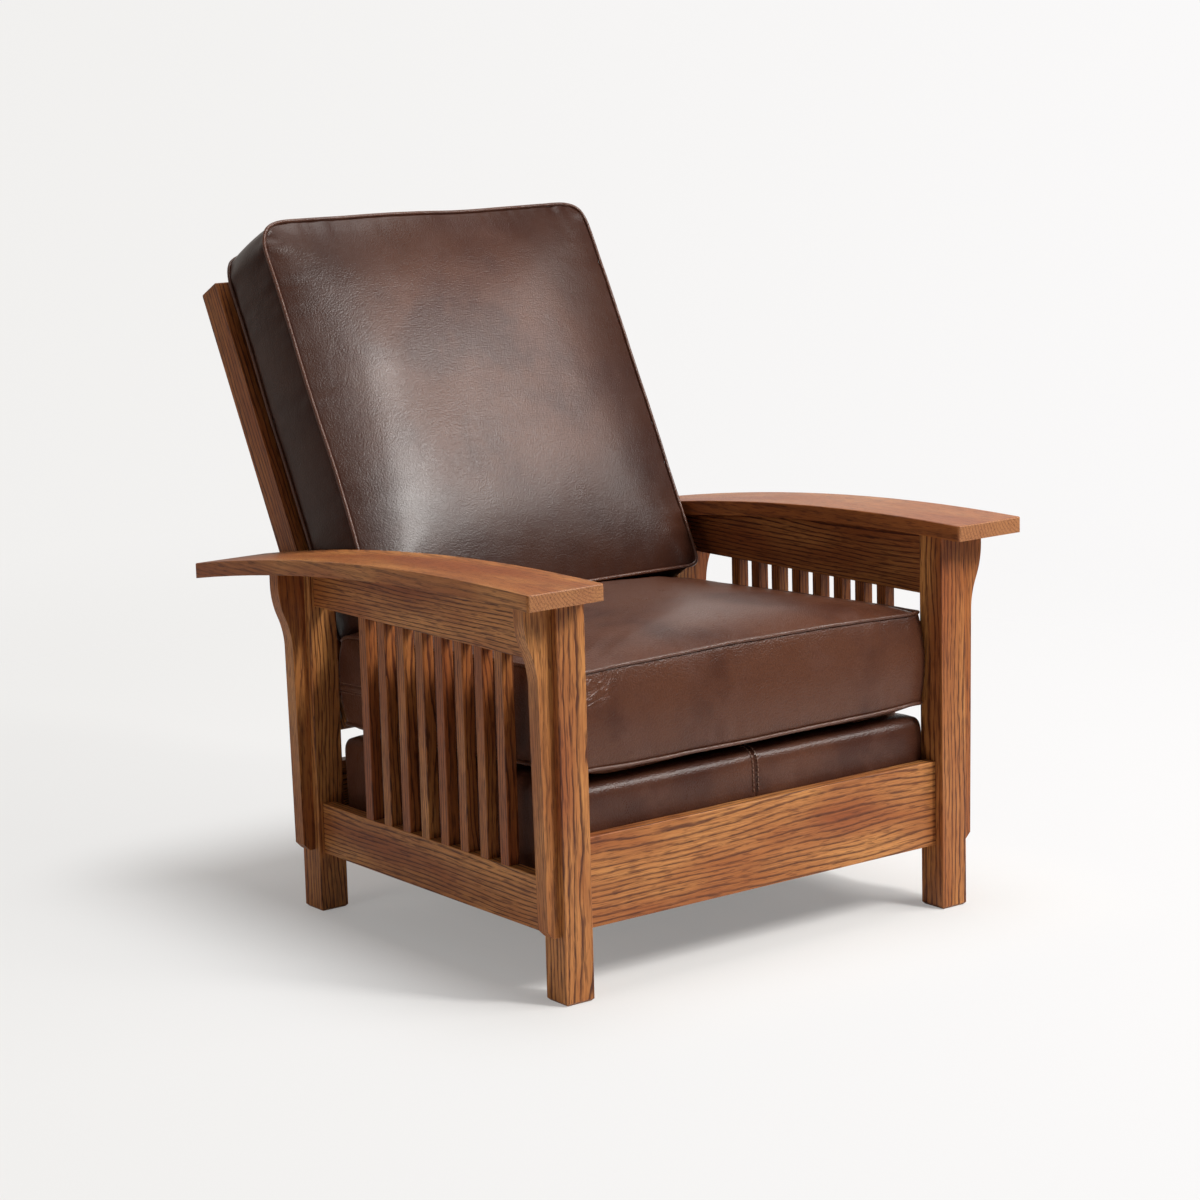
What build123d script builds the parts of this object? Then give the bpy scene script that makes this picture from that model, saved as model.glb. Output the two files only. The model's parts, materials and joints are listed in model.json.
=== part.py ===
from build123d import *
import os
from math import cos, radians, sin, sqrt, tan

os.makedirs("parts", exist_ok=True)

# A reclining armchair of quarter sawn oak with loose leather cushions.
# X runs across the chair, +Y to its back, +Z up. The chair faces -Y and stands on z = 0.
# All lengths are in millimetres and all angles in degrees.

# Posts and the square that they stand on
post = 47.6
frame_width = 752
frame_depth = 676
foot_chamfer = 3.8
edge_round = 1.5
tenon_thick = 9
tenon_length = 19
tenon_shoulder = 10
arm_tenon = 28
arm_tenon_length = 13

# Bowed arms
arm_width = 127
arm_thick = 23
arm_lap = 4.1
arm_front_reach = 41.8
arm_rear_reach = 159
arm_radius = 4567
arm_crest = 590.3
arm_crest_back = 65.4
arm_corner = 5
arm_edge_round = 2

# Rails
rail_thick = 21
end_rail_bottom = 97.6
end_rail_height = 129.2
end_rail_setback = 16.2
side_rail_bottom = 90.8
side_rail_height = 78.3
side_rail_setback = 9.4
upper_rail_bottom = 473.8

# Spindles in the sides
spindle_count = 8
spindle = 19.5
spindle_pitch = 49.4
spindle_shift = -12
spindle_tenon = 11
spindle_tenon_length = 12

# Corbels on the outer faces of the posts
corbel_thick = 23.5
corbel_top_reach = 45
corbel_reach = 24
corbel_foot_reach = 20
corbel_bottom = 97
corbel_head = 20
corbel_curve = 100
corbel_foot_chamfer = 10

# Sprung deck between the rails, sloping down to the rear
seat_slope = 2.6
deck_side_clear = 1
deck_front_clear = 0.5
deck_rear_clear = 17.7
deck_height = 136
deck_bottom = 160
deck_roll = 18
deck_corner = 6
deck_rail_thick = 22
deck_rail_height = 103
leather = 2
spring_wire = 3.8
spring_count = 5
spring_pitch = 108
spring_swing = 24
spring_step = 24.5
spring_bend = 9
clip_width = 16
clip_length = 12
clip_wall = 1.2
clip_fit = 0.1
front_cleat_depth = 24
rear_cleat_depth = 40
cleat_height = 26
screw_radius = 2.4
screw_head_radius = 4.6
screw_head_height = 3.2
screw_count = 4
cleat_end_clear = 34.4

# Seat cushion
seat_side_clear = 2.4
seat_overhang = 12
seat_rear_clear = 3
seat_boxing = 131
seat_crown = 37
seat_under_crown = 24
seat_press = 1.6
seat_corner = 22
seat_draw = 4

# Back frame, hinged between the rear posts
recline = 27.3
raise_travel = 15
rest_positions = 4
pivot_height = 296.9
stile_depth = 49.2
stile_width = 30
stile_reach = 711
stile_gap = 8.8
stile_ease = 2
back_rail_thick = 20
bottom_rail_height = 50
bottom_rail_centre = 92
top_rail_height = 68
top_rail_drop = 6
slat_count = 4
slat_height = 62
slat_thick = 14
slat_tenon = 13
pin_radius = 4.75
pin_fit = 0.08
pin_depth = 30
pin_head_radius = 9
pin_head_height = 4
spacer_radius = 13
running_gap = 0.25

# Support pegs in the arms' inner edges
peg_radius = 6.35
peg_fit = 0.08
peg_insert = 40
peg_hole_spare = 3
peg_chamfer = 1.2
peg_knob_radius = 11
peg_knob_length = 12
peg_knob_round = 3
peg_knob_gap = 1.6
peg_contact_gap = 0.12

# Back cushion
back_side_clear = 17.4
back_foot_rise = 109.27
back_height = 646
back_boxing = 115.6
back_crown = 33
back_rear_crown = 28.6
back_corner = 34
back_draw = 5
soft_gap = 0.3

# Places worked out from the sizes
recline_sin, recline_cos = sin(radians(recline)), cos(radians(recline))
slope_sin, slope_cos = sin(radians(seat_slope)), cos(radians(seat_slope))
half_stile = stile_depth / 2
back_bottom = (deck_bottom + deck_height + back_foot_rise - pivot_height) * recline_cos
back_reach_rear = stile_reach * recline_sin + half_stile * recline_cos - stile_ease * recline_sin
frame_front = (arm_front_reach - (frame_depth - post / 2 + back_reach_rear)) / 2
frame_rear = frame_front + frame_depth
post_outer = frame_width / 2
post_inner = post_outer - post
post_middle = post_outer - post / 2
front_post_y = frame_front + post / 2
rear_post_y = frame_rear - post / 2
arm_inner = post_inner - arm_lap
arm_outer = arm_inner + arm_width
arm_front = frame_front - arm_front_reach
arm_rear = frame_rear + arm_rear_reach
arm_centre_y = frame_front + arm_crest_back
arm_centre_z = arm_crest - arm_radius
side_rail_outer = post_outer - side_rail_setback
side_rail_middle = side_rail_outer - rail_thick / 2
side_rail_top = side_rail_bottom + side_rail_height
front_rail_y = frame_front + end_rail_setback + rail_thick / 2
rear_rail_y = frame_rear - end_rail_setback - rail_thick / 2
overrun = post
sides = ((-1, "left"), (1, "right"))
ends = ((front_post_y, "front"), (rear_post_y, "rear"))


def arm_z(y, depth):
    """Height of the arm's bow at y, measured depth below its top face."""
    return arm_centre_z + sqrt((arm_radius - depth) ** 2 - (y - arm_centre_y) ** 2)


def save(part, name):
    """Label a finished piece and write it to its own file."""
    part.label = name
    export_step(part, f"parts/{name}.step")


# Room above the arms' undersides, which trims whatever meets them
trim_top = arm_crest + overrun
trim_front, trim_rear = arm_front - overrun, arm_rear + overrun
with BuildPart() as arm_room:
    with BuildSketch(Plane.YZ.offset(-arm_outer - overrun)):
        with BuildLine():
            ThreePointArc(
                (trim_front, arm_z(trim_front, arm_thick)),
                (arm_centre_y, arm_z(arm_centre_y, arm_thick)),
                (trim_rear, arm_z(trim_rear, arm_thick)),
            )
            Polyline(
                (trim_rear, arm_z(trim_rear, arm_thick)),
                (trim_rear, trim_top),
                (trim_front, trim_top),
                (trim_front, arm_z(trim_front, arm_thick)),
            )
        make_face()
    extrude(amount=2 * (arm_outer + overrun))

# Deck frame of reference: Y runs rearward down the slope, Z square to the deck
deck_front = front_rail_y + rail_thick / 2 + deck_front_clear
deck_rear = rear_rail_y - rail_thick / 2 - deck_rear_clear
deck_depth = (deck_rear - deck_front) / slope_cos
deck_half_width = post_inner - deck_side_clear
deck_plane = Plane(
    origin=(0, deck_front, deck_bottom),
    x_dir=(1, 0, 0),
    z_dir=(0, slope_sin, slope_cos),
)

deck_up = Axis(deck_plane.origin, deck_plane.z_dir)

# Back frame of reference at the pivot: Y is square to the back and rearward, Z runs up the back
back_plane = Plane(
    origin=(0, rear_post_y, pivot_height),
    x_dir=(1, 0, 0),
    z_dir=(0, recline_sin, recline_cos),
)
stile_outer = post_inner - stile_gap
stile_inner = stile_outer - stile_width

# Tenon sizes shared by the rails and the mortises in the posts
end_tenon_height = end_rail_height - 2 * tenon_shoulder
side_tenon_height = side_rail_height - 2 * tenon_shoulder
end_rail_middle_z = end_rail_bottom + end_rail_height / 2
side_rail_middle_z = side_rail_bottom + side_rail_height / 2
upper_tenon_bottom = upper_rail_bottom + tenon_shoulder
upper_tenon_top = arm_z(rear_post_y, arm_thick) - tenon_shoulder - arm_tenon_length
upper_tenon_height = upper_tenon_top - upper_tenon_bottom
upper_tenon_z = upper_tenon_bottom + upper_tenon_height / 2
side_tenon_span = frame_depth - 2 * post + 2 * tenon_length
end_tenon_span = frame_width - 2 * post + 2 * tenon_length
frame_middle_y = (frame_front + frame_rear) / 2
post_tenon_top = {
    "front": arm_z(front_post_y, arm_thick) + arm_tenon_length,
    "rear": arm_z(rear_post_y, arm_thick) + arm_tenon_length,
}

# Corner posts
for side, side_name in sides:
    for post_y, end_name in ends:
        rail_y = front_rail_y if end_name == "front" else rear_rail_y
        with BuildPart() as corner_post:
            with BuildSketch(Plane.XY):
                with Locations((side * post_middle, post_y)):
                    Rectangle(post, post)
            extrude(amount=arm_crest)
            chamfer(corner_post.faces().sort_by(Axis.Z)[0].edges(), foot_chamfer)
            fillet(corner_post.edges().filter_by(Axis.Z), edge_round)
            add(arm_room.part, mode=Mode.SUBTRACT)
            with BuildSketch(Plane.XY.offset(post_tenon_top[end_name])):
                with Locations((side * post_middle, post_y)):
                    Rectangle(arm_tenon, arm_tenon)
            extrude(amount=-2 * arm_tenon_length)
            with Locations((0, rail_y, end_rail_middle_z)):
                Box(end_tenon_span, tenon_thick, end_tenon_height, mode=Mode.SUBTRACT)
            with Locations((side * side_rail_middle, frame_middle_y, side_rail_middle_z)):
                Box(tenon_thick, side_tenon_span, side_tenon_height, mode=Mode.SUBTRACT)
            with Locations((side * side_rail_middle, frame_middle_y, upper_tenon_z)):
                Box(tenon_thick, side_tenon_span, upper_tenon_height, mode=Mode.SUBTRACT)
            if end_name == "rear":
                with BuildSketch(Plane.YZ.offset(side * (post_inner + pin_depth))):
                    with Locations((post_y, pivot_height)):
                        Circle(pin_radius)
                extrude(amount=-side * (pin_depth + overrun), mode=Mode.SUBTRACT)
        save(corner_post.part, f"post_{end_name}_{side_name}")


def spindle_y(index):
    """Middle of one spindle along the side."""
    return frame_middle_y + spindle_shift + (index - (spindle_count - 1) / 2) * spindle_pitch


spindle_places = [spindle_y(index) for index in range(spindle_count)]
rail_length = frame_depth - 2 * post

# Side rails, lower and upper, mortised for the spindles
for side, side_name in sides:
    with BuildPart() as lower_rail:
        with Locations((side * side_rail_middle, frame_middle_y, side_rail_middle_z)):
            Box(rail_thick, rail_length, side_rail_height)
            fillet(lower_rail.edges().filter_by(Axis.Y), edge_round)
            Box(tenon_thick, side_tenon_span, side_tenon_height)
        with BuildSketch(Plane.XY.offset(side_rail_top)):
            with Locations([(side * side_rail_middle, y) for y in spindle_places]):
                Rectangle(spindle_tenon, spindle_tenon)
        extrude(amount=-spindle_tenon_length, mode=Mode.SUBTRACT)
    save(lower_rail.part, f"side_rail_lower_{side_name}")

    with BuildPart() as upper_rail:
        with BuildSketch(Plane.XY.offset(upper_rail_bottom)):
            with Locations((side * side_rail_middle, frame_middle_y)):
                Rectangle(rail_thick, rail_length)
        extrude(amount=arm_crest - upper_rail_bottom)
        low_edges = upper_rail.edges().filter_by(Axis.Y).group_by(Axis.Z)[0]
        fillet(low_edges, edge_round)
        add(arm_room.part, mode=Mode.SUBTRACT)
        with Locations((side * side_rail_middle, frame_middle_y, upper_tenon_z)):
            Box(tenon_thick, side_tenon_span, upper_tenon_height)
        with BuildSketch(Plane.XY.offset(upper_rail_bottom)):
            with Locations([(side * side_rail_middle, y) for y in spindle_places]):
                Rectangle(spindle_tenon, spindle_tenon)
        extrude(amount=spindle_tenon_length, mode=Mode.SUBTRACT)
    save(upper_rail.part, f"side_rail_upper_{side_name}")

# Spindles, numbered from the front
for side, side_name in sides:
    for index, place in enumerate(spindle_places):
        with BuildPart() as spindle_bar:
            with BuildSketch(Plane.XY.offset(side_rail_top)) as bar_section:
                with Locations((side * side_rail_middle, place)):
                    Rectangle(spindle, spindle)
                fillet(bar_section.vertices(), edge_round)
            extrude(amount=upper_rail_bottom - side_rail_top)
            with BuildSketch(Plane.XY.offset(side_rail_top - spindle_tenon_length)):
                with Locations((side * side_rail_middle, place)):
                    Rectangle(spindle_tenon, spindle_tenon)
            extrude(amount=upper_rail_bottom - side_rail_top + 2 * spindle_tenon_length)
        save(spindle_bar.part, f"spindle_{side_name}_{index + 1}")

# Front and rear rails, with the screws that hold the cleats behind them
cleat_length = 2 * (deck_half_width - cleat_end_clear)
screw_pitch = cleat_length / screw_count
screw_places = [(index - (screw_count - 1) / 2) * screw_pitch for index in range(screw_count)]


def deck_under(y):
    """Height of the deck's underside at y."""
    return deck_bottom - (y - deck_front) * tan(radians(seat_slope))


cleats = {
    "front": (front_rail_y + rail_thick / 2, 1, front_cleat_depth),
    "rear": (rear_rail_y - rail_thick / 2, -1, rear_cleat_depth),
}


def screw_height(face_y, inward, depth):
    """Height of the screws through one cleat."""
    return deck_under(face_y + inward * depth) - cleat_height / 2


with BuildPart() as cleat_screws:
    for face_y, inward, depth in cleats.values():
        head_y = face_y + inward * depth
        for x in screw_places:
            screw_plane = Plane(
                origin=(x, head_y, screw_height(face_y, inward, depth)),
                x_dir=(1, 0, 0),
                z_dir=(0, -inward, 0),
            )
            with BuildSketch(screw_plane):
                Circle(screw_head_radius)
            with BuildSketch(screw_plane.offset(screw_head_height)):
                Circle(screw_radius)
            loft()
            with BuildSketch(screw_plane):
                Circle(screw_radius)
            extrude(amount=depth + rail_thick / 2)
save(cleat_screws.part, "cleat_screws")

for rail_y, end_name in ((front_rail_y, "front"), (rear_rail_y, "rear")):
    with BuildPart() as end_rail:
        with Locations((0, rail_y, end_rail_middle_z)):
            Box(frame_width - 2 * post, rail_thick, end_rail_height)
            fillet(end_rail.edges().filter_by(Axis.X), edge_round)
            Box(end_tenon_span, tenon_thick, end_tenon_height)
        add(cleat_screws.part, mode=Mode.SUBTRACT)
    save(end_rail.part, f"{end_name}_rail")

    face_y, inward, depth = cleats[end_name]
    far_y = face_y + inward * depth
    low_z = screw_height(face_y, inward, depth) - cleat_height / 2
    with BuildPart() as cleat:
        with BuildSketch(Plane.YZ.offset(-cleat_length / 2)):
            with BuildLine():
                Polyline(
                    (face_y, low_z),
                    (far_y, low_z),
                    (far_y, deck_under(far_y)),
                    (face_y, deck_under(face_y)),
                    close=True,
                )
            make_face()
        extrude(amount=cleat_length)
        add(cleat_screws.part, mode=Mode.SUBTRACT)
    save(cleat.part, f"deck_cleat_{end_name}")

# Corbels: their back is straight against the post and their front sweeps out under the arm
for side, side_name in sides:
    for post_y, end_name in ends:
        shoulder = arm_z(post_y, arm_thick) - corbel_head
        waist = shoulder - corbel_curve
        bend_x = (corbel_top_reach + corbel_reach) / 2
        bend_z = (shoulder + waist) / 2
        with BuildPart() as corbel:
            face = Plane(
                origin=(side * post_outer, post_y, 0),
                x_dir=(side, 0, 0),
                z_dir=(0, -side, 0),
            )
            with BuildSketch(face):
                with BuildLine():
                    Polyline(
                        (0, corbel_bottom),
                        (corbel_foot_reach - corbel_foot_chamfer, corbel_bottom),
                        (corbel_foot_reach, corbel_bottom + corbel_foot_chamfer),
                        (corbel_reach, waist),
                    )
                    lower = TangentArc((corbel_reach, waist), (bend_x, bend_z), tangent=(0, 1))
                    TangentArc((bend_x, bend_z), (corbel_top_reach, shoulder), tangent=lower % 1)
                    Polyline(
                        (corbel_top_reach, shoulder),
                        (corbel_top_reach, arm_crest),
                        (0, arm_crest),
                        (0, corbel_bottom),
                    )
                make_face()
            extrude(amount=corbel_thick / 2, both=True)
            add(arm_room.part, mode=Mode.SUBTRACT)
        save(corbel.part, f"corbel_{end_name}_{side_name}")


def peg_place(angle):
    """Middle of a peg on which the back leans at an angle, halfway down the arm's edge."""
    distance = half_stile + peg_contact_gap + peg_radius
    y = rear_post_y
    for _ in range(9):
        rise = arm_z(y, arm_thick / 2) - pivot_height
        y = rear_post_y + distance / cos(radians(angle)) + rise * tan(radians(angle))
    return y, arm_z(y, arm_thick / 2)


rest_angles = [recline - raise_travel * step / (rest_positions - 1) for step in range(rest_positions)]

# Bowed arms, mortised for the posts and bored for the pegs
for side, side_name in sides:
    with BuildPart() as arm:
        with BuildSketch(Plane.YZ.offset(side * arm_inner)):
            with BuildLine():
                ThreePointArc(
                    (arm_front, arm_z(arm_front, 0)),
                    (arm_centre_y, arm_z(arm_centre_y, 0)),
                    (arm_rear, arm_z(arm_rear, 0)),
                )
                Line((arm_rear, arm_z(arm_rear, 0)), (arm_rear, arm_z(arm_rear, arm_thick)))
                ThreePointArc(
                    (arm_rear, arm_z(arm_rear, arm_thick)),
                    (arm_centre_y, arm_z(arm_centre_y, arm_thick)),
                    (arm_front, arm_z(arm_front, arm_thick)),
                )
                Line((arm_front, arm_z(arm_front, arm_thick)), (arm_front, arm_z(arm_front, 0)))
            make_face()
        extrude(amount=side * arm_width)
        fillet(arm.edges().filter_by(Axis.Z), arm_corner)
        top_face = arm.faces().sort_by(Axis.Z)[-1]
        fillet(top_face.edges(), arm_edge_round)
        for post_y, end_name in ends:
            with Locations((side * post_middle, post_y, post_tenon_top[end_name])):
                Box(
                    arm_tenon,
                    arm_tenon,
                    2 * arm_tenon_length,
                    align=(Align.CENTER, Align.CENTER, Align.MAX),
                    mode=Mode.SUBTRACT,
                )
        with BuildSketch(Plane.YZ.offset(side * arm_inner)):
            with Locations([peg_place(angle) for angle in rest_angles]):
                Circle(peg_radius + peg_fit)
        extrude(amount=side * (peg_insert + peg_hole_spare), mode=Mode.SUBTRACT)
    save(arm.part, f"arm_{side_name}")

# Support pegs, pushed into the rearmost holes
peg_y, peg_z = peg_place(recline)
peg_knob_start = stile_inner - peg_knob_gap
for side, side_name in sides:
    with BuildPart() as peg:
        with BuildSketch(Plane.YZ.offset(side * (arm_inner + peg_insert))):
            with Locations((peg_y, peg_z)):
                Circle(peg_radius)
        extrude(amount=-side * (arm_inner + peg_insert - peg_knob_start))
        tip = peg.faces().filter_by(Axis.X).sort_by(Axis.X)[-1 if side > 0 else 0]
        chamfer(tip.edges(), peg_chamfer)
        with BuildSketch(Plane.YZ.offset(side * peg_knob_start)):
            with Locations((peg_y, peg_z)):
                Circle(peg_knob_radius)
        extrude(amount=-side * peg_knob_length)
        knob_face = peg.faces().filter_by(Axis.X).sort_by(Axis.X)[0 if side > 0 else -1]
        fillet(knob_face.edges(), peg_knob_round)
    save(peg.part, f"support_peg_{side_name}")

# Deck frame: front and rear rails between two side rails
deck_inner_half = deck_half_width - leather
deck_inner_depth = deck_depth - 2 * leather
inner_middle_y = deck_depth / 2
deck_rail_z = deck_rail_height / 2
for side, side_name in sides:
    with BuildPart(deck_plane) as deck_side:
        with Locations((side * (deck_inner_half - deck_rail_thick / 2), inner_middle_y, deck_rail_z)):
            Box(deck_rail_thick, deck_inner_depth, deck_rail_height)
        upright = deck_side.edges().filter_by(deck_up).sort_by(Axis.X)
        fillet(upright[-2:] if side > 0 else upright[:2], deck_corner - leather)
    save(deck_side.part, f"deck_rail_{side_name}")

deck_cross_length = 2 * (deck_inner_half - deck_rail_thick)
deck_cross_places = {
    "front": leather + deck_rail_thick / 2,
    "rear": deck_depth - leather - deck_rail_thick / 2,
}
for end_name, place in deck_cross_places.items():
    with BuildPart(deck_plane) as deck_cross:
        with Locations((0, place, deck_rail_z)):
            Box(deck_cross_length, deck_rail_thick, deck_rail_height)
    save(deck_cross.part, f"deck_rail_{end_name}")

# Zigzag springs across the deck frame, and the clips that hold their ends
wire_radius = spring_wire / 2
wire_z = deck_rail_height + clip_wall + wire_radius
spring_places = [(index - (spring_count - 1) / 2) * spring_pitch for index in range(spring_count)]
zigzag_start = leather + deck_rail_thick + spring_step
zigzag_count = int((deck_depth - 2 * zigzag_start) / spring_step / 2) * 2 + 1
zigzag_first = (deck_depth - (zigzag_count - 1) * spring_step) / 2

with BuildPart() as springs:
    for x in spring_places:
        points = [(x, leather + deck_rail_thick / 2 - clip_length / 2, wire_z)]
        points.append((x, zigzag_first - spring_step, wire_z))
        for turn in range(zigzag_count):
            reach = x + spring_swing * (1 if turn % 2 == 0 else -1)
            y = zigzag_first + turn * spring_step
            points.append((reach, y - spring_step / 2, wire_z))
            points.append((reach, y + spring_step / 2, wire_z))
        points.append((x, zigzag_first + zigzag_count * spring_step, wire_z))
        points.append((x, deck_depth - points[0][1], wire_z))
        with BuildLine(deck_plane) as spring_path:
            FilletPolyline(*points, radius=spring_bend)
        start = Plane(
            origin=spring_path.line @ 0,
            x_dir=(1, 0, 0),
            z_dir=spring_path.line % 0,
        )
        with BuildSketch(start):
            Circle(wire_radius)
        sweep(path=spring_path.line)
save(springs.part, "deck_springs")

clip_height = spring_wire + 2 * clip_wall
with BuildPart(deck_plane) as clips:
    for x in spring_places:
        for place in deck_cross_places.values():
            with Locations((x, place, deck_rail_height + clip_height / 2)):
                Box(clip_width, clip_length, clip_height)
                Cylinder(
                    wire_radius + clip_fit,
                    clip_length,
                    rotation=(90, 0, 0),
                    mode=Mode.SUBTRACT,
                )
save(clips.part, "spring_clips")

# Upholstery of the deck: a pad on the springs and a leather cover drawn over the frame
pad_bottom = deck_rail_height + clip_height + soft_gap
with BuildPart(deck_plane) as deck_outer:
    with Locations((0, inner_middle_y, 0)):
        Box(
            2 * deck_half_width,
            deck_depth,
            deck_height,
            align=(Align.CENTER, Align.CENTER, Align.MIN),
        )
    fillet(deck_outer.edges().filter_by(deck_up), deck_corner)
    fillet(deck_outer.faces().filter_by(deck_up).sort_by(deck_up)[-1].edges(), deck_roll)

with BuildPart(deck_plane) as deck_inner:
    with Locations((0, inner_middle_y, 0)):
        Box(
            2 * deck_inner_half,
            deck_inner_depth,
            deck_height - leather,
            align=(Align.CENTER, Align.CENTER, Align.MIN),
        )
    fillet(deck_inner.edges().filter_by(deck_up), deck_corner - leather)
    fillet(deck_inner.faces().filter_by(deck_up).sort_by(deck_up)[-1].edges(), deck_roll - leather)

with BuildPart() as deck_cover:
    add(deck_outer.part)
    add(deck_inner.part, mode=Mode.SUBTRACT)
save(deck_cover.part, "deck_cover")

with BuildPart() as deck_pad:
    add(deck_inner.part)
    split(bisect_by=deck_plane.offset(pad_bottom), keep=Keep.TOP)
save(deck_pad.part, "deck_pad")

# Cushion forms: the places of the sections across a cushion, and the height of its crown there
section_shares = (-1, -0.84, -0.5, 0, 0.5, 0.84, 1)
crown_shares = (0.12, 0.66, 0.94, 1, 0.94, 0.66, 0.12)
flank_share, shoulder_share = 0.075, 0.24
flank_rise_share, shoulder_rise_share = 0.52, 0.93


def panel(start, end, level, crown):
    """One crowned panel of a section, from one seam to the other."""
    span = end - start

    def at(share, rise_share):
        return start + span * share, level + crown * rise_share

    ThreePointArc(at(0, 0), at(flank_share, flank_rise_share), at(shoulder_share, shoulder_rise_share))
    ThreePointArc(
        at(shoulder_share, shoulder_rise_share),
        at(1 / 2, 1),
        at(1 - shoulder_share, shoulder_rise_share),
    )
    ThreePointArc(
        at(1 - shoulder_share, shoulder_rise_share),
        at(1 - flank_share, flank_rise_share),
        at(1, 0),
    )


def cushion(plane, half_width, length, boxing, crown, under_crown, corner, draw, inset):
    """A crowned cushion with drawn-in sides; inset makes the same form that much smaller."""
    with BuildPart() as form:
        for share, crown_share in zip(section_shares, crown_shares):
            with BuildSketch(plane.offset(share * (half_width - inset))):
                with BuildLine():
                    panel(inset, length - inset, boxing - inset, crown * crown_share)
                    Line((length - inset, boxing - inset), (length - inset, inset))
                    panel(length - inset, inset, inset, -under_crown * crown_share)
                    Line((inset, inset), (inset, boxing - inset))
                make_face()
        loft()
        wide = half_width - inset
        outline_plane = Plane(
            origin=plane.origin - plane.y_dir * (crown + under_crown),
            x_dir=plane.z_dir,
            z_dir=plane.y_dir,
        )
        start, end = inset, length - inset
        with BuildSketch(outline_plane) as outline:
            with BuildLine():
                ThreePointArc((-wide, start), (0, start + draw), (wide, start))
                ThreePointArc((wide, start), (wide - draw, length / 2), (wide, end))
                ThreePointArc((wide, end), (0, end - draw), (-wide, end))
                ThreePointArc((-wide, end), (draw - wide, length / 2), (-wide, start))
            make_face()
            fillet(outline.vertices(), corner - inset)
        extrude(amount=boxing + 2 * (crown + under_crown), mode=Mode.INTERSECT)
    return form.part


# Seat cushion: leather cover round a sprung and padded core, pressed flat where the back stands on it
seat_half_width = post_inner - seat_side_clear
seat_depth = deck_depth + seat_overhang - seat_rear_clear
seat_start = Vector(0, deck_front, deck_bottom) + deck_plane.z_dir * (
    deck_height + soft_gap + seat_under_crown - seat_press
)
seat_plane = Plane(
    origin=seat_start - deck_plane.y_dir * seat_overhang,
    x_dir=deck_plane.y_dir,
    z_dir=(1, 0, 0),
)


def seat_form(inset):
    """The seat cushion's form, flattened under the back cushion and on the deck."""
    with BuildPart() as form:
        add(
            cushion(
                seat_plane,
                seat_half_width,
                seat_depth,
                seat_boxing,
                seat_crown,
                seat_under_crown,
                seat_corner,
                seat_draw,
                inset,
            )
        )
        split(bisect_by=back_plane.offset(back_bottom - soft_gap - inset), keep=Keep.BOTTOM)
        split(bisect_by=deck_plane.offset(deck_height + soft_gap + inset), keep=Keep.TOP)
    return form.part


with BuildPart() as seat_core:
    add(seat_form(leather))
save(seat_core.part, "seat_cushion_core")

with BuildPart() as seat_cover:
    add(seat_form(0))
    add(seat_core.part, mode=Mode.SUBTRACT)
save(seat_cover.part, "seat_cushion_cover")

# Back cushion, standing on the seat cushion and leaning on the back frame
back_half_width = post_inner - back_side_clear
back_cushion_plane = Plane(
    origin=back_plane.origin
    + back_plane.z_dir * back_bottom
    - back_plane.y_dir * (half_stile + 2 * soft_gap + back_rear_crown),
    x_dir=back_plane.z_dir,
    z_dir=(1, 0, 0),
)


def back_form(inset):
    """The back cushion's form."""
    return cushion(
        back_cushion_plane,
        back_half_width,
        back_height,
        back_boxing,
        back_crown,
        back_rear_crown,
        back_corner,
        back_draw,
        inset,
    )


with BuildPart() as back_core:
    add(back_form(leather))
save(back_core.part, "back_cushion_core")

with BuildPart() as back_cover:
    add(back_form(0))
    add(back_core.part, mode=Mode.SUBTRACT)
save(back_cover.part, "back_cushion_cover")

# Back frame: slats and rails housed in two stiles
top_rail_centre = stile_reach - top_rail_drop - top_rail_height / 2
slat_pitch = (top_rail_centre - bottom_rail_centre) / (slat_count + 1)
back_bars = {
    "back_rail_bottom": (bottom_rail_centre, bottom_rail_height, back_rail_thick),
    "back_rail_top": (top_rail_centre, top_rail_height, back_rail_thick),
}
for index in range(slat_count):
    centre = bottom_rail_centre + (index + 1) * slat_pitch
    back_bars[f"back_slat_{index + 1}"] = (centre, slat_height, slat_thick)

bars = {}
for name, (centre, height, thick) in back_bars.items():
    with BuildPart(back_plane) as back_bar:
        with Locations((0, thick / 2 - half_stile, centre)):
            Box(2 * stile_inner, thick, height)
            fillet(back_bar.edges().filter_by(Axis.X), edge_round)
            Box(2 * (stile_inner + slat_tenon), thick - 2 * edge_round, height - 2 * edge_round)
    bars[name] = back_bar.part
    save(back_bar.part, name)

for side, side_name in sides:
    with BuildPart() as stile:
        side_face = Plane(
            origin=(side * stile_inner, rear_post_y, pivot_height),
            x_dir=back_plane.y_dir,
            z_dir=(1, 0, 0),
        )
        with BuildSketch(side_face):
            with BuildLine():
                ThreePointArc((-half_stile, 0), (0, -half_stile), (half_stile, 0))
                Polyline(
                    (half_stile, 0),
                    (half_stile, stile_reach - stile_ease),
                    (half_stile - stile_ease, stile_reach),
                    (stile_ease - half_stile, stile_reach),
                    (-half_stile, stile_reach - stile_ease),
                    (-half_stile, 0),
                )
            make_face()
        extrude(amount=side * stile_width)
        for bar in bars.values():
            add(bar, mode=Mode.SUBTRACT)
        with BuildSketch(side_face):
            Circle(pin_radius + pin_fit)
        extrude(amount=side * stile_width, mode=Mode.SUBTRACT)
    save(stile.part, f"back_stile_{side_name}")

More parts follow.
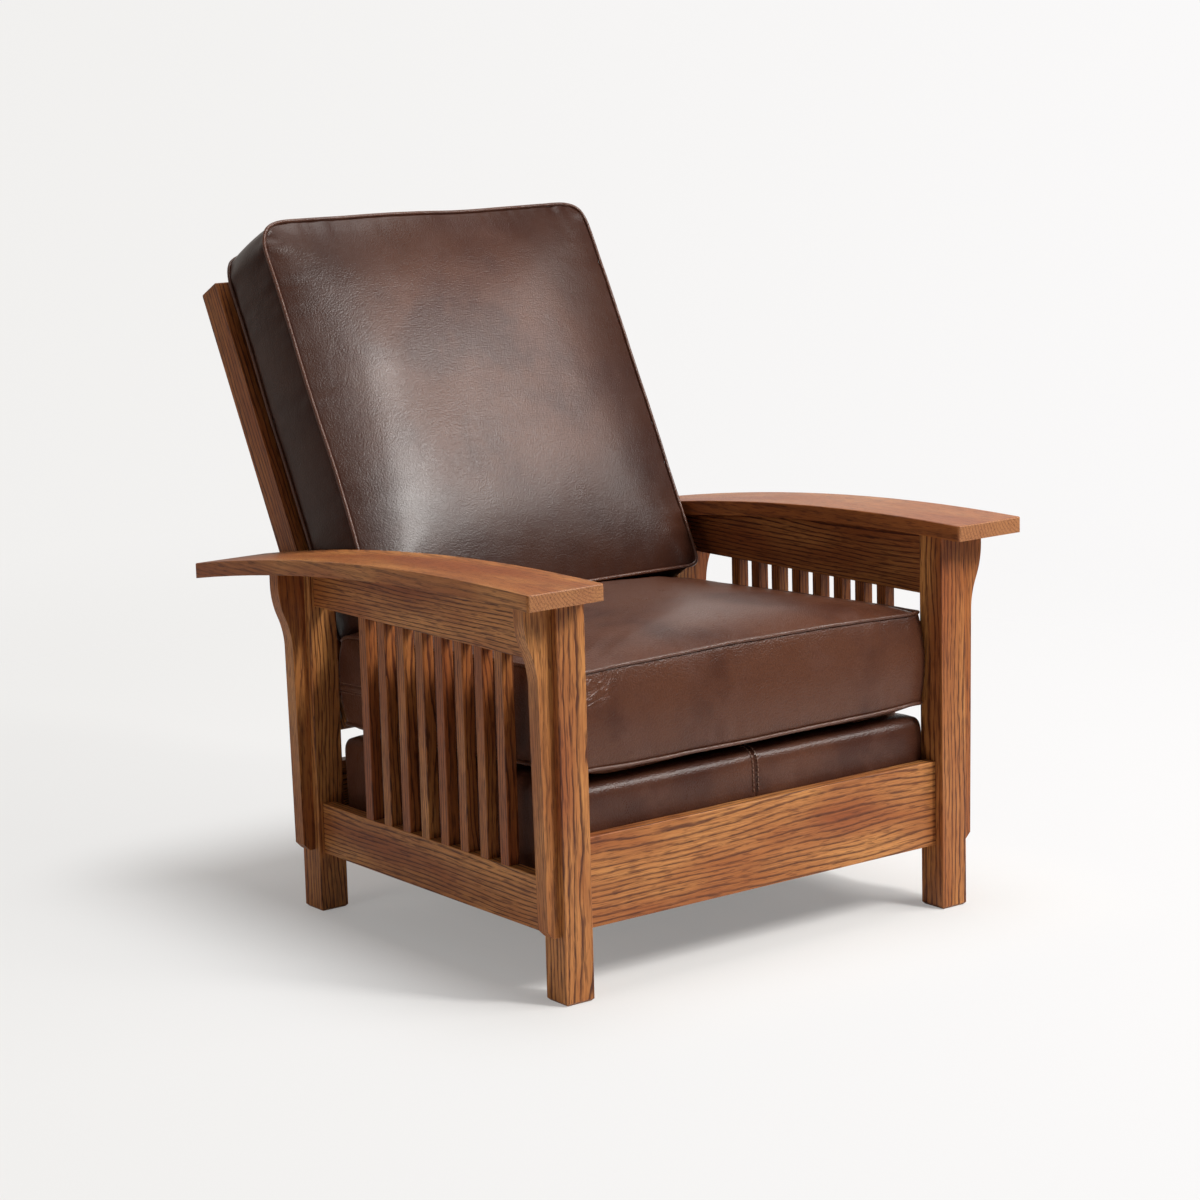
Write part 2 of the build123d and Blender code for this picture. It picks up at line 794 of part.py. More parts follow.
# Pivot pins through the stiles into the rear posts, with spacers on them
with BuildPart() as pins:
    for side, side_name in sides:
        with BuildSketch(Plane.YZ.offset(side * (stile_inner - running_gap))):
            with Locations((rear_post_y, pivot_height)):
                Circle(pin_head_radius)
        extrude(amount=-side * pin_head_height)
        with BuildSketch(Plane.YZ.offset(side * (stile_inner - running_gap))):
            with Locations((rear_post_y, pivot_height)):
                Circle(pin_radius)
        extrude(amount=side * (post_inner + pin_depth - stile_inner + running_gap))
save(pins.part, "pivot_pins")

with BuildPart() as spacers:
    for side, side_name in sides:
        with BuildSketch(Plane.YZ.offset(side * post_inner)):
            with Locations((rear_post_y, pivot_height)):
                Circle(spacer_radius)
                Circle(pin_radius, mode=Mode.SUBTRACT)
        extrude(amount=-side * (stile_gap - running_gap))
save(spacers.part, "pivot_spacers")
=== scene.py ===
"""Looks of an oak reclining armchair with leather cushions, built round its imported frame."""

import json
import math

import bpy
import numpy as np
from mathutils import Matrix, Vector, noise


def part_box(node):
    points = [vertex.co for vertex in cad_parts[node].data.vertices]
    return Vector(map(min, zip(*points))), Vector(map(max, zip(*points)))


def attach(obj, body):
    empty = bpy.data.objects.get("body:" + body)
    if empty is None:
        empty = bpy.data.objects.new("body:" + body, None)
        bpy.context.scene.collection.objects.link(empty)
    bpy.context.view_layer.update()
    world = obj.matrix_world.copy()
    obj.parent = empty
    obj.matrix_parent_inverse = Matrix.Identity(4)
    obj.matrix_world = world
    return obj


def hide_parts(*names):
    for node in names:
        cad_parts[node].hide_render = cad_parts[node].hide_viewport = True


bl_info = {
    "name": "Oak reclining armchair",
    "version": (1, 0, 0),
    "blender": (4, 5, 0),
    "location": "View3D > Sidebar > Armchair",
    "description": "Oak, leather, stitching and stage of a reclining armchair",
    "category": "Object",
}

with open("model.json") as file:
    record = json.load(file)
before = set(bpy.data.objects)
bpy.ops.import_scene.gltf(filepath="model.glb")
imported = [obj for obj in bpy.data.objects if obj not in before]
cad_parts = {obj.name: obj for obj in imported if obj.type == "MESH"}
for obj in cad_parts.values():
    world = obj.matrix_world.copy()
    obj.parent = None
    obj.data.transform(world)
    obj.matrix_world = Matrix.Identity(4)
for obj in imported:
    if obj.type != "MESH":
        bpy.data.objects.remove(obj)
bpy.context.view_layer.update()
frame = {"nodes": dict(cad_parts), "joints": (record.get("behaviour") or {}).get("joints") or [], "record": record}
NODES = frame["nodes"]
SLOTS = {row["node"]: row["material_slot"] for row in frame["record"]["subparts"]}
JOINTS = {joint["name"]: joint for joint in frame["joints"]}

ACROSS = Vector((1, 0, 0))
UP = Vector((0, 0, 1))
REAR = Vector((0, 1, 0))
PIVOT = Vector(JOINTS["back_recline"]["pos_m"])
BACK_UP = Vector(JOINTS["back_cushion_slide"]["axis"]).normalized()
BACK_FRONT = ACROSS.cross(BACK_UP)
SEAT_REAR = -Vector(JOINTS["seat_cushion_slide"]["axis"]).normalized()
SEAT_UP = ACROSS.cross(SEAT_REAR)

# Each oak board, by the start of its name: its grain, where the pith of its log lies across and through it,
# its ring pitch as a factor, the sway of the rings, their contrast and the depth of the stain
OTHER_BOARD = (ACROSS, (0.045, 0.060), 1.0, 0.020, 0.92, 0.0)
BOARDS = {
    "post": (UP, (0.050, 0.046), 1.2, 0.020, 0.95, -0.04),
    "corbel": (UP, (0.040, 0.060), 1.0, 0.020, 0.50, 0.10),
    "spindle": (UP, (0.030, 0.055), 1.0, 0.020, 0.92, 0.12),
    "arm": (REAR, (0.085, -0.075), 1.5, 0.010, 0.38, 0.14),
    "side_rail": (REAR, (0.034, -0.050), 1.5, 0.022, 0.95, 0.0),
    "front_rail": (ACROSS, (0.055, 0.110), 2.2, 0.034, 0.82, -0.02),
    "back_stile": (BACK_UP, *OTHER_BOARD[1:]),
}

# Cloth of the covers while they are stuffed
CLOTH = {
    "quality": 5,
    "mass": 0.25,
    "tension_stiffness": 28,
    "compression_stiffness": 28,
    "shear_stiffness": 14,
    "bending_stiffness": 1.6,
    "tension_damping": 12,
    "compression_damping": 12,
    "shear_damping": 12,
    "bending_damping": 1.0,
    "air_damping": 6,
    "vertex_group_mass": "held",
    "vertex_group_shrink": "slack",
    "shrink_min": 0.0,
    "shrink_max": -0.085,
    "use_pressure": True,
}
STUFFING_FRAMES = 20
SLACK_REACH = 0.045
NOISE_SEED = 60

# Lamps: place, aim, width and height, power and tint
LAMPS = {
    "window_light": ((3.05, -2.95, 3.6), (0.0, -0.1, 0.55), (2.9, 1.8), 146, (1.0, 0.98, 0.95)),
    "front_light": ((1.50, -3.46, 3.60), (-0.2, 0.1, 0.6), (0.66, 1.5), 142, (1.0, 0.98, 0.95)),
    "left_light": ((-4.0, 0.1, 1.6), (0.0, 0.0, 0.5), (2.0, 2.0), 18, (1.0, 0.96, 0.92)),
    "top_light": ((0.4, 0.3, 3.9), (0.0, -0.1, 0.4), (2.2, 2.2), 62, (1.0, 0.985, 0.96)),
    "rear_light": ((3.4, 3.2, 1.7), (0.2, 0.0, 0.5), (2.2, 2.0), 9, (1.0, 1.0, 1.0)),
}
# Painted shade on the backdrop: it is painted darker on the left and lighter on the right along this direction, as
# the light falls off
BACKDROP_TURN = Vector((0.8, -0.6, 0))

# The photograph's viewpoint, found from its straight edges: turn, height and roll in degrees, and metres
VIEW_ANGLES = (-36.8953, 10.5330, -1.5382)
VIEW_AIM = Vector((-0.03057, -0.11789, 0.47431))
VIEW_DISTANCE = 4.6621
VIEW_LENS, VIEW_SENSOR = 93.335, 36


def prop_maker(kind, **limits):
    """A function that makes properties of one kind."""

    def make(name, description, default):
        return kind(name=name, description=description, default=default, min=0, **limits)

    return make


colour_prop = prop_maker(bpy.props.FloatVectorProperty, subtype="COLOR", size=3, max=1)
length_prop = prop_maker(bpy.props.FloatProperty, subtype="DISTANCE", unit="LENGTH")
share_prop = prop_maker(bpy.props.FloatProperty, subtype="FACTOR", max=1)


class OakSettings(bpy.types.PropertyGroup):
    """Colours and figure of the oak"""

    light: colour_prop("Light wood", "Palest wood between the rings", (0.62, 0.272, 0.080))
    middle: colour_prop("Middle wood", "Usual colour of the stained oak", (0.38, 0.122, 0.030))
    red: colour_prop("Red wood", "Redder patches in the stain", (0.24, 0.044, 0.012))
    ring: colour_prop("Ring", "Dark lines of the year rings", (0.082, 0.018, 0.006))
    end: colour_prop("End grain", "Paler wood of the cut ends", (0.50, 0.24, 0.11))
    pore: colour_prop("Pore", "Stain lying in the open pores", (0.036, 0.0095, 0.0040))
    ring_pitch: length_prop("Ring pitch", "Distance between two rings", 0.0038)
    roughness: share_prop("Roughness", "Roughness of the satin varnish", 0.46)


class LeatherSettings(bpy.types.PropertyGroup):
    """Colours and grain of the leather"""

    base: colour_prop("Leather", "Usual colour of the hide", (0.107, 0.039, 0.0205))
    dark: colour_prop("Dark leather", "Deeper patches of the hide", (0.056, 0.018, 0.0105))
    pale: colour_prop("Pale leather", "Paler, greyer patches of the hide", (0.118, 0.050, 0.034))
    thread: colour_prop("Thread", "Colour of the stitching", (0.36, 0.22, 0.16))
    pebble: length_prop("Pebble", "Width of one pebble of the grain", 0.0025)
    roughness: share_prop("Roughness", "Roughness of the leather's finish", 0.27)
    welt_radius: length_prop("Welt radius", "Radius of the piping along the seams", 0.0028)


class StageSettings(bpy.types.PropertyGroup):
    """Backdrop and lights"""

    floor: colour_prop("Floor", "Colour of the floor", (0.84, 0.835, 0.83))
    backdrop_left: colour_prop("Backdrop left", "Backdrop colour on the left", (0.875, 0.865, 0.85))
    backdrop_right: colour_prop("Backdrop right", "Backdrop colour on the right", (0.965, 0.955, 0.955))
    ambient: share_prop("Ambient", "Strength of the light from all round", 0.14)


class Value:
    """An output socket that can stand in arithmetic; each operator adds its Math node."""

    def __init__(self, finish, socket):
        self.finish = finish
        self.socket = socket

    def math(self, operation, *others):
        return self.finish.add("ShaderNodeMath", dict(enumerate((self, *others))), operation=operation)

    def between(self, low, high):
        """0 below low, 1 above high, and smooth from one to the other."""
        return self.finish.add(
            "ShaderNodeMapRange",
            {"Value": self, "From Min": low, "From Max": high, "To Min": 0.0, "To Max": 1.0},
            interpolation_type="SMOOTHSTEP",
        )


def operator(operation, reflected=False):
    """A method that adds a Math node, with the other value first if it is reflected."""

    def method(self, other):
        inputs = {0: other, 1: self} if reflected else {0: self, 1: other}
        return self.finish.add("ShaderNodeMath", inputs, operation=operation)

    return method


for word, operation in (("add", "ADD"), ("sub", "SUBTRACT"), ("mul", "MULTIPLY"), ("truediv", "DIVIDE")):
    setattr(Value, f"__{word}__", operator(operation))
    setattr(Value, f"__r{word}__", operator(operation, reflected=True))


class Finish:
    """A material's nodes."""

    def __init__(self, name, tree=None):
        if tree is None:
            self.material = bpy.data.materials.new(name)
            self.material.use_nodes = True
            tree = self.material.node_tree
        self.tree = tree
        self.tree.nodes.clear()

    def add(self, kind, inputs=None, output=0, **settings):
        """Add a node: its settings first, then the values or links of its sockets."""
        node = self.tree.nodes.new(kind)
        for name, setting in settings.items():
            setattr(node, name, setting)
        for key, value in (inputs or {}).items():
            socket = node.inputs[key]
            if isinstance(value, Value):
                self.tree.links.new(value.socket, socket)
            elif socket.type == "RGBA" and len(value) == 3:
                socket.default_value = (*value, 1)
            else:
                socket.default_value = value
        return Value(self, node.outputs[output])

    def mix(self, share, first, second):
        """Mix two colours."""
        return self.add("ShaderNodeMix", {0: share, 6: first, 7: second}, 2, data_type="RGBA")

    def vector(self, operation, first, second, output=0):
        return self.add("ShaderNodeVectorMath", {0: first, 1: second}, output, operation=operation)

    def along(self, place, axis, start=0.0):
        """How far a place lies along an axis."""
        return self.vector("DOT_PRODUCT", place, axis, output="Value") - start

    def join(self, x, y, z):
        return self.add("ShaderNodeCombineXYZ", {"X": x, "Y": y, "Z": z})

    def place(self):
        return self.add("ShaderNodeTexCoord", output="Object")

    def noise(self, place, scale, detail=2.0, roughness=0.5, output=0):
        inputs = {"Vector": place, "Scale": scale, "Detail": detail, "Roughness": roughness}
        return self.add("ShaderNodeTexNoise", inputs, output)

    def close(self, colour, roughness, height, depth, strength, **constants):
        """Add the surface shader, with a bump from a height of 0 to 1, and the output."""
        bump = self.add("ShaderNodeBump", {"Strength": strength, "Distance": depth, "Height": height})
        inputs = {"Base Color": colour, "Roughness": roughness, "Normal": bump}
        for name, value in constants.items():
            inputs[name.replace("_", " ").title().replace("Ior", "IOR")] = value
        self.surface(self.add("ShaderNodeBsdfPrincipled", inputs))
        return self.material

    def surface(self, shader, kind="ShaderNodeOutputMaterial"):
        output = self.tree.nodes.new(kind)
        self.tree.links.new(shader.socket, output.inputs["Surface"])


def share_of(colour, share):
    """A colour made darker or lighter."""
    return tuple(share * part for part in colour)


def dress(piece, material):
    """Give a piece one material all over."""
    piece.data.materials.clear()
    piece.data.materials.append(material)


def board_axes(name, grain):
    """A board's grain direction and two directions across it."""
    side = REAR if grain == ACROSS else ACROSS
    if name.startswith("back_"):
        side = ACROSS if grain == BACK_UP else BACK_UP
    return grain, side, grain.cross(side)


def oak_finish(name, settings, axes, centre, pith, seed, pitch, sway_reach, contrast, end_place, tone):
    """Stained oak: wavy year rings round a pith outside the board, and open pores along the grain."""
    finish = Finish(name)
    place = finish.place()
    length, side, depth = (finish.along(place, axis, centre.dot(axis)) for axis in axes)
    seeds = Vector((seed * 1.37, seed * 2.11, seed * 3.73))

    def grained(along, across, detail, roughness, shift=seeds, output=0):
        """Noise drawn out along the grain, at so many blotches a metre along and across it."""
        stretched = finish.join(length * along, side * across, depth * across)
        return finish.noise(finish.vector("ADD", stretched, shift), 1.0, detail, roughness, output)

    sway = grained(3.1, 11, 1.5, 0.45, output="Color")
    wobble = grained(17, 60, 2.0, 0.55) * 0.0030
    off_side = side - pith[0] + finish.along(sway, ACROSS, 0.5) * sway_reach + wobble
    off_depth = depth - pith[1] + finish.along(sway, REAR, 0.5) * sway_reach + wobble
    phase = ((off_side * off_side + off_depth * off_depth).math("SQRT") / pitch).math("FRACT")
    strength = grained(19, 110, 3.0, 0.6)
    ring = phase.between(0.55, 0.84) * (1 - phase.between(0.93, 1.0)) * strength.between(0.26, 0.54)
    fibre = grained(22, 900, 2.0, 0.6, (0, 0, 0))
    pore = grained(55, 1500, 1.0, 0.5, (seed, 0, 0))
    pores = pore.between(0.56, 0.72) * (0.25 + 0.75 * phase.between(0.35, 0.85))
    cloud = grained(4.5, 16, 2.0, 0.5, -seeds)
    dashes = grained(34, 400, 1.0, 0.5, -seeds).between(0.56, 0.68)
    streak = grained(7, 240, 2.0, 0.55)
    warm = grained(2.3, 13, 1.0, 0.5, seeds * 0.7)
    cut = length.math("ABSOLUTE").between(end_place - 0.0012, end_place - 0.0006)
    base = finish.mix((cloud + tone).between(0.30, 0.68), settings.light, settings.middle)
    flesh = (1 - phase.between(0.0, 0.55)) * 0.22 + fibre.between(0.35, 0.75) * 0.30
    for share, colour in (
        (warm.between(0.46, 0.70) * 0.62, settings.red),
        (streak.between(0.52, 0.74) * 0.42, share_of(settings.red, 0.45)),
        (flesh, settings.middle),
        (cut * 0.6, settings.end),
        (fibre.between(0.46, 0.76) * 0.50, settings.ring),
        (ring * contrast, settings.ring),
        (dashes * 0.55, settings.ring),
        (pores * 0.74, settings.pore),
    ):
        base = finish.mix(share, base, colour)
    gloss = settings.roughness + pores * 0.22 + (cloud - 0.5) * 0.10
    height = 1 - pores * 0.55 - ring * 0.30 - fibre * 0.18
    return finish.close(
        base, gloss, height, 0.00035, 0.55, specular_ior_level=0.36, coat_weight=0.08, coat_roughness=0.26
    )


def hardwood_finish():
    """Plain planed hardwood of the deck frame, unstained."""
    finish = Finish("planed_hardwood")
    place = finish.place()
    stretched = finish.vector("MULTIPLY", place, (9, 260, 260))
    fibre = finish.noise(stretched, 1.0, 3.0, 0.6)
    cloud = finish.noise(finish.vector("MULTIPLY", place, (3, 22, 22)), 1.0)
    base = finish.mix(cloud.between(0.3, 0.7), (0.52, 0.35, 0.20), (0.40, 0.25, 0.13))
    base = finish.mix(fibre.between(0.45, 0.8) * 0.5, base, (0.26, 0.15, 0.07))
    return finish.close(base, 0.6 + fibre * 0.15, fibre, 0.0002, 0.5)


def steel_finish():
    """Bright zinc plate, lightly spangled."""
    finish = Finish("zinc_plated_steel")
    place = finish.place()
    spangle = finish.noise(place, 900.0, 3.0, 0.6)
    film = finish.noise(place, 60.0)
    base = finish.mix(spangle.between(0.3, 0.7), (0.50, 0.50, 0.51), (0.36, 0.36, 0.37))
    return finish.close(base, 0.28 + film * 0.22, spangle, 0.00006, 0.4, metallic=1.0)


def webbing_finish():
    """Woven jute of the pad's underside."""
    finish = Finish("woven_jute")
    place = finish.place()
    warp = finish.along(place, ACROSS * 1700).math("SINE")
    weft = finish.along(place, REAR * 1700).math("SINE")
    weave = (warp * weft + 1) * 0.5
    slub = finish.noise(finish.vector("MULTIPLY", place, (40, 300, 300)), 1.0, 3.0, 0.6)
    base = finish.mix(slub.between(0.3, 0.75), (0.36, 0.28, 0.17), (0.25, 0.18, 0.10))
    base = finish.mix((1 - weave) * 0.6, base, (0.10, 0.07, 0.04))
    return finish.close(base, 0.85 + slub * 0.1, weave, 0.0006, 0.8)


def leather_finish(name, settings, shade=0.0, crease_and_highlight=None, fine=1.0, sheen=0.27, painted_rim_shade=None):
    """Dyed upholstery hide: fine pebbled grain, soft creases and clouded colour, painted lighter or darker per
    piece for its light, and, where given, painted highlights along the creases and painted shade round the rim.
    """
    finish = Finish(name)
    place = finish.place()
    drift = finish.noise(place, 160.0, 1.0, 0.5, "Color")
    shaken = finish.vector("MULTIPLY_ADD", drift, (0.0012, 0.0012, 0.0012))
    shaken = finish.vector("ADD", shaken, place)
    cells = {"Vector": shaken, "Scale": fine / settings.pebble, "Smoothness": 0.45, "Randomness": 0.95}
    pebble = finish.add("ShaderNodeTexVoronoi", cells, "Distance", feature="SMOOTH_F1")
    grit = finish.noise(place, 1500.0, 2.0, 0.6)
    fold = finish.noise(place, 34.0, 3.0, 0.55)
    cloud = finish.noise(place, 7.0, 3.0, 0.55)
    blotch = finish.noise(finish.vector("ADD", place, (3.1, 1.7, 0.4)), 17.0, 3.0, 0.6)
    # Painted light: shade shifts this copy of the hide lighter or darker for how brightly its piece is lit.
    base = finish.mix((cloud + shade).between(0.36, 0.67), settings.dark, settings.base)
    base = finish.mix(blotch.between(0.48, 0.76) * 0.55, base, settings.pale)
    base = finish.mix(pebble.between(0.35, 0.75) * 0.30, base, settings.dark)
    grain = pebble * 0.75
    # Painted shade: the hide is painted darker towards its sides and most towards its lower end, where the crowned
    # cushion turns away from the light; the pebble is calmed there too.
    if painted_rim_shade is not None:
        middle, up, half_width, half_length = painted_rim_shade
        aside = (finish.along(place, ACROSS) / half_width).math("ABSOLUTE").between(0.25, 1.15)
        upward = finish.along(place, up, middle.dot(up)) / half_length
        ends = upward.between(0.30, 1.1) * 0.8 + (0 - upward).between(0.20, 0.90) * 1.3
        rim = (aside * 1.15 + ends + (cloud - 0.5) * 1.2).between(0.0, 1.1)
        base = finish.mix(rim * 0.70, base, share_of(settings.dark, 0.50))
        grain = grain * (1 - rim * 0.55)
    gloss = settings.roughness + (blotch - 0.5) * 0.16 + pebble * 0.10
    height = 1 - grain + grit * 0.12 + fold * 0.9
    if crease_and_highlight is not None:
        spot, reach = crease_and_highlight
        away = finish.vector("DISTANCE", place, spot, "Value")
        arcs = finish.join(away * 90, finish.along(place, UP * 20), finish.along(place, ACROSS * 20))
        lines = finish.noise(arcs, 1.0)
        sharp = 1 - ((lines - 0.5).math("ABSOLUTE") * 12).between(0.0, 1.0)
        below = (0 - finish.along(place, UP, spot.z - 0.024)).between(0.0, 0.006)
        near = away.between(0.2 * reach, 0.4 * reach) * (1 - away.between(0.6 * reach, reach)) * below
        height = height - sharp * near * 1.3
        # Painted highlight: the lines of the creases are painted paler, as if their edges caught the light.
        base = finish.mix(sharp * near * 0.45, base, share_of(settings.pale, 1.5))
    return finish.close(
        base, gloss, height, 0.00075, 0.85, specular_ior_level=sheen, coat_weight=0.11, coat_roughness=0.17
    )


def thread_finish(settings):
    """Twisted bonded thread."""
    finish = Finish("stitching_thread")
    place = finish.place()
    twist = finish.along(place, (3000, 2600, 3400)).math("SINE")
    ply = twist * 0.5 + 0.5
    base = finish.mix(ply, settings.thread, settings.base)
    return finish.close(base, 0.55 + twist * 0.06, ply, 0.0001, 0.6)


def new_object(name, data):
    """An object in the scene."""
    thing = bpy.data.objects.new(name, data)
    bpy.context.scene.collection.objects.link(thing)
    return thing


def new_mesh(name, points, faces):
    mesh = bpy.data.meshes.new(name)
    mesh.from_pydata([tuple(point) for point in points], [], [tuple(face) for face in faces])
    return mesh


def make_piece(name, points, faces, material, body):
    """A smooth mesh piece that rides on a body and takes a slot's finish."""
    mesh = new_mesh(name, points, faces)
    mesh.validate()
    mesh.polygons.foreach_set("use_smooth", [True] * len(mesh.polygons))
    piece = new_object(name, mesh)
    dress(piece, material)
    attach(piece, body)
    return piece


def unit(rows, least=1e-9):
    """Rows brought to the length 1."""
    return rows / np.maximum(np.linalg.norm(rows, axis=1)[:, None], least)


def band(low, high):
    """Faces between two closed loops of points."""
    return [(a, b, d, c) for a, b, c, d in zip(low, np.roll(low, -1), high, np.roll(high, -1))]


def tube(path, radius, closed, up, sides, flat=1.0):
    """A round or flattened tube along a path, whose section stands on the direction up."""
    path = np.asarray(path, float)
    before, after = np.roll(path, 1, axis=0), np.roll(path, -1, axis=0)
    if not closed:
        before[0], after[-1] = path[0], path[-1]
    tangent = unit(after - before)
    outward = unit(np.cross(tangent, np.asarray(up, float)))
    upward = np.cross(outward, tangent)
    angles = np.linspace(0, 2 * math.pi, sides, endpoint=False)[None, :, None]
    ring = np.cos(angles) * outward[:, None] * flat + np.sin(angles) * upward[:, None]
    points = (path[:, None] + radius * ring).reshape(-1, 3)
    count, around, faces = len(path), np.arange(sides), []
    for step in range(count if closed else count - 1):
        faces += band(step * sides + around, (step + 1) % count * sides + around)
    if not closed:
        faces.append(tuple(range(sides))[::-1])
        faces.append(tuple(range((count - 1) * sides, count * sides)))
    return points, faces


def gather(parts):
    """Join several lists of points and faces into one."""
    points, faces, start = [], [], 0
    for part_points, part_faces in parts:
        points.extend(part_points)
        faces.extend(tuple(start + index for index in face) for face in part_faces)
        start += len(part_points)
    return points, faces


def pace(path, pitch):
    """Distances spaced evenly along an open path, and a function from a distance to its point."""
    path = np.asarray(path, float)
    steps = np.linalg.norm(np.diff(path, axis=0), axis=1)
    distance = np.concatenate([[0], np.cumsum(steps)])

    def at(where):
        return np.array([np.interp(where, distance, path[:, axis]) for axis in range(3)])

    return np.arange(pitch / 2, distance[-1], pitch), at


def stitches(path, pitch=0.0046, length=0.0033, radius=0.00045):
    """A row of short stitches along an open, level path."""
    parts = []
    lift = np.array(UP)
    places, at = pace(path, pitch)
    for place in places:
        shares = np.linspace(-0.5, 0.5, 5)
        line = [at(place + share * length) + lift * radius * (0.6 - 5 * share * share) for share in shares]
        level = np.cross(at(place + length) - at(place - length), lift) + 1e-9
        parts.append(tube(line, radius, False, level, 6))
    return gather(parts)


def spread(half, step, extra=()):
    """Even places from -half to half, with closer ones by both ends."""
    count = max(2, round(2 * half / step))
    places = list(np.linspace(-half, half, count + 1))
    places += [sign * (half - 0.0032) for sign in (-1, 1)] + list(extra)
    places.sort()
    kept = [places[0]]
    for place in places[1:]:
        if place - kept[-1] > 0.0008:
            kept.append(place)
    return np.array(kept)


def round_corner(a, b):
    """Pull a square corner in to a quarter circle."""
    reach = np.hypot(a, b)
    pull = np.where(reach > 1e-9, np.maximum(a, b) / np.maximum(reach, 1e-9), 1.0)
    return a * pull, b * pull


class Pad:
    """A closed pad in its own frame: X across, Y along its length from 0, Z from its lower seam up."""

    def __init__(self, half_width, length, boxing, corner, draw, step, extra=(), foot=None):
        self.half_width, self.length, self.boxing = half_width, length, boxing
        self.corner, self.foot, self.draw = corner, foot or corner, draw
        xs, ys = spread(half_width, step, extra), spread(length / 2, step)
        levels = np.linspace(0, boxing, max(2, round(boxing / step)) + 1)
        columns, rows = len(xs), len(ys)
        grid_x, grid_y = np.meshgrid(xs, ys)
        grid_x, grid_y = self.outline(grid_x.ravel(), grid_y.ravel())
        index = np.arange(columns * rows).reshape(rows, columns)
        border = np.concatenate([index[0], index[1:, -1], index[-1, :-1][::-1], index[1:-1, 0][::-1]])
        top = np.stack([grid_x, grid_y, np.full(grid_x.shape, boxing)], axis=1)
        bottom = np.stack([grid_x, grid_y, np.zeros(grid_x.shape)], axis=1)
        rim_x, rim_y = grid_x[border], grid_y[border]
        walls = [np.stack([rim_x, rim_y, np.full(len(border), level)], axis=1) for level in levels[1:-1]]
        self.points = np.concatenate([top, bottom, *walls])
        self.points[:, 1] += length / 2
        size = columns * rows
        self.panel = np.zeros(len(self.points), int)
        self.panel[:size], self.panel[size : 2 * size] = 1, -1
        around = np.arange(len(border))
        between = [2 * size + level * len(border) + around for level in range(len(walls))]
        loops = [size + border, *between, border]
        self.top_seam, self.bottom_seam, self.loops = border, size + border, loops
        faces = []
        for row in range(rows - 1):
            for column in range(columns - 1):
                a, b = index[row, column : column + 2]
                d, c = index[row + 1, column : column + 2]
                faces.append((a, b, c, d))
                faces.append((size + d, size + c, size + b, size + a))
        for low, high in zip(loops[:-1], loops[1:]):
            faces += band(low, high)
        self.faces = faces

    def outline(self, x, y):
        """Round the plan's corners and draw its sides in between them."""
        half_x, half_y = self.half_width, self.length / 2
        corner = np.where(y < 0, self.foot, self.corner)
        over_x = np.maximum(np.abs(x) - (half_x - corner), 0)
        over_y = np.maximum(np.abs(y) - (half_y - corner), 0)
        in_x, in_y = round_corner(over_x, over_y)
        x = np.sign(x) * (np.abs(x) - over_x + in_x)
        y = np.sign(y) * (np.abs(y) - over_y + in_y)
        pull_x = 1 - self.draw / half_x * (1 - (y / half_y) ** 2)
        pull_y = 1 - self.draw / half_y * (1 - (x / half_x) ** 2)
        return x * pull_x, y * pull_y

    def gaps(self):
        """How far each point lies from the sides, from the ends and from its nearest seam."""
        x, y, z = self.points.T
        side = np.maximum(self.half_width - np.abs(x), 0)
        end = np.maximum(self.length / 2 - np.abs(y - self.length / 2), 0)
        wall = np.clip(np.minimum(z, self.boxing - z), 0, None)
        return side, end, np.where(self.panel == 0, wall, np.minimum(side, end))

    def crown(self, top, bottom, top_powers, bottom_powers):
        """Raise the panels into crowns; higher powers across and along make fuller edges."""
        x = np.clip(np.abs(self.points[:, 0]) / self.half_width, 0, 1)
        y = np.clip(np.abs(self.points[:, 1] / (self.length / 2) - 1), 0, 1)
        for side, amount, powers in ((1, top, top_powers), (-1, -bottom, bottom_powers)):
            dome = np.sqrt(np.clip(1 - x ** powers[0], 0, 1)) * np.sqrt(np.clip(1 - y ** powers[1], 0, 1))
            self.points[:, 2] += np.where(self.panel == side, amount * dome, 0)

    def outward(self, points):
        """Directions square to the pad's outline, turning round its corners."""
        x, y = points[:, 0] / self.half_width, points[:, 1] / (self.length / 2) - 1
        way = np.stack([np.sign(x) * np.abs(x) ** 14, np.sign(y) * np.abs(y) ** 14], axis=1)
        return unit(way, 1e-6)

    def swell(self, amount):
        """Let the boxing bulge between its seams."""
        wall = self.panel == 0
        rise = np.sin(np.pi * np.clip(self.points[:, 2] / self.boxing, 0, 1))
        self.points[:, :2] += self.outward(self.points) * np.where(wall, amount * rise, 0)[:, None]


def place_matrix(origin, x, y, z):
    """A frame of reference as a matrix."""
    matrix = Matrix((x, y, z)).transposed().to_4x4()
    matrix.translation = origin
    return matrix


def moved(points, matrix):
    """Points carried by a matrix."""
    points = np.asarray(points, float)
    array = np.array(matrix)
    return points @ array[:3, :3].T + array[:3, 3]


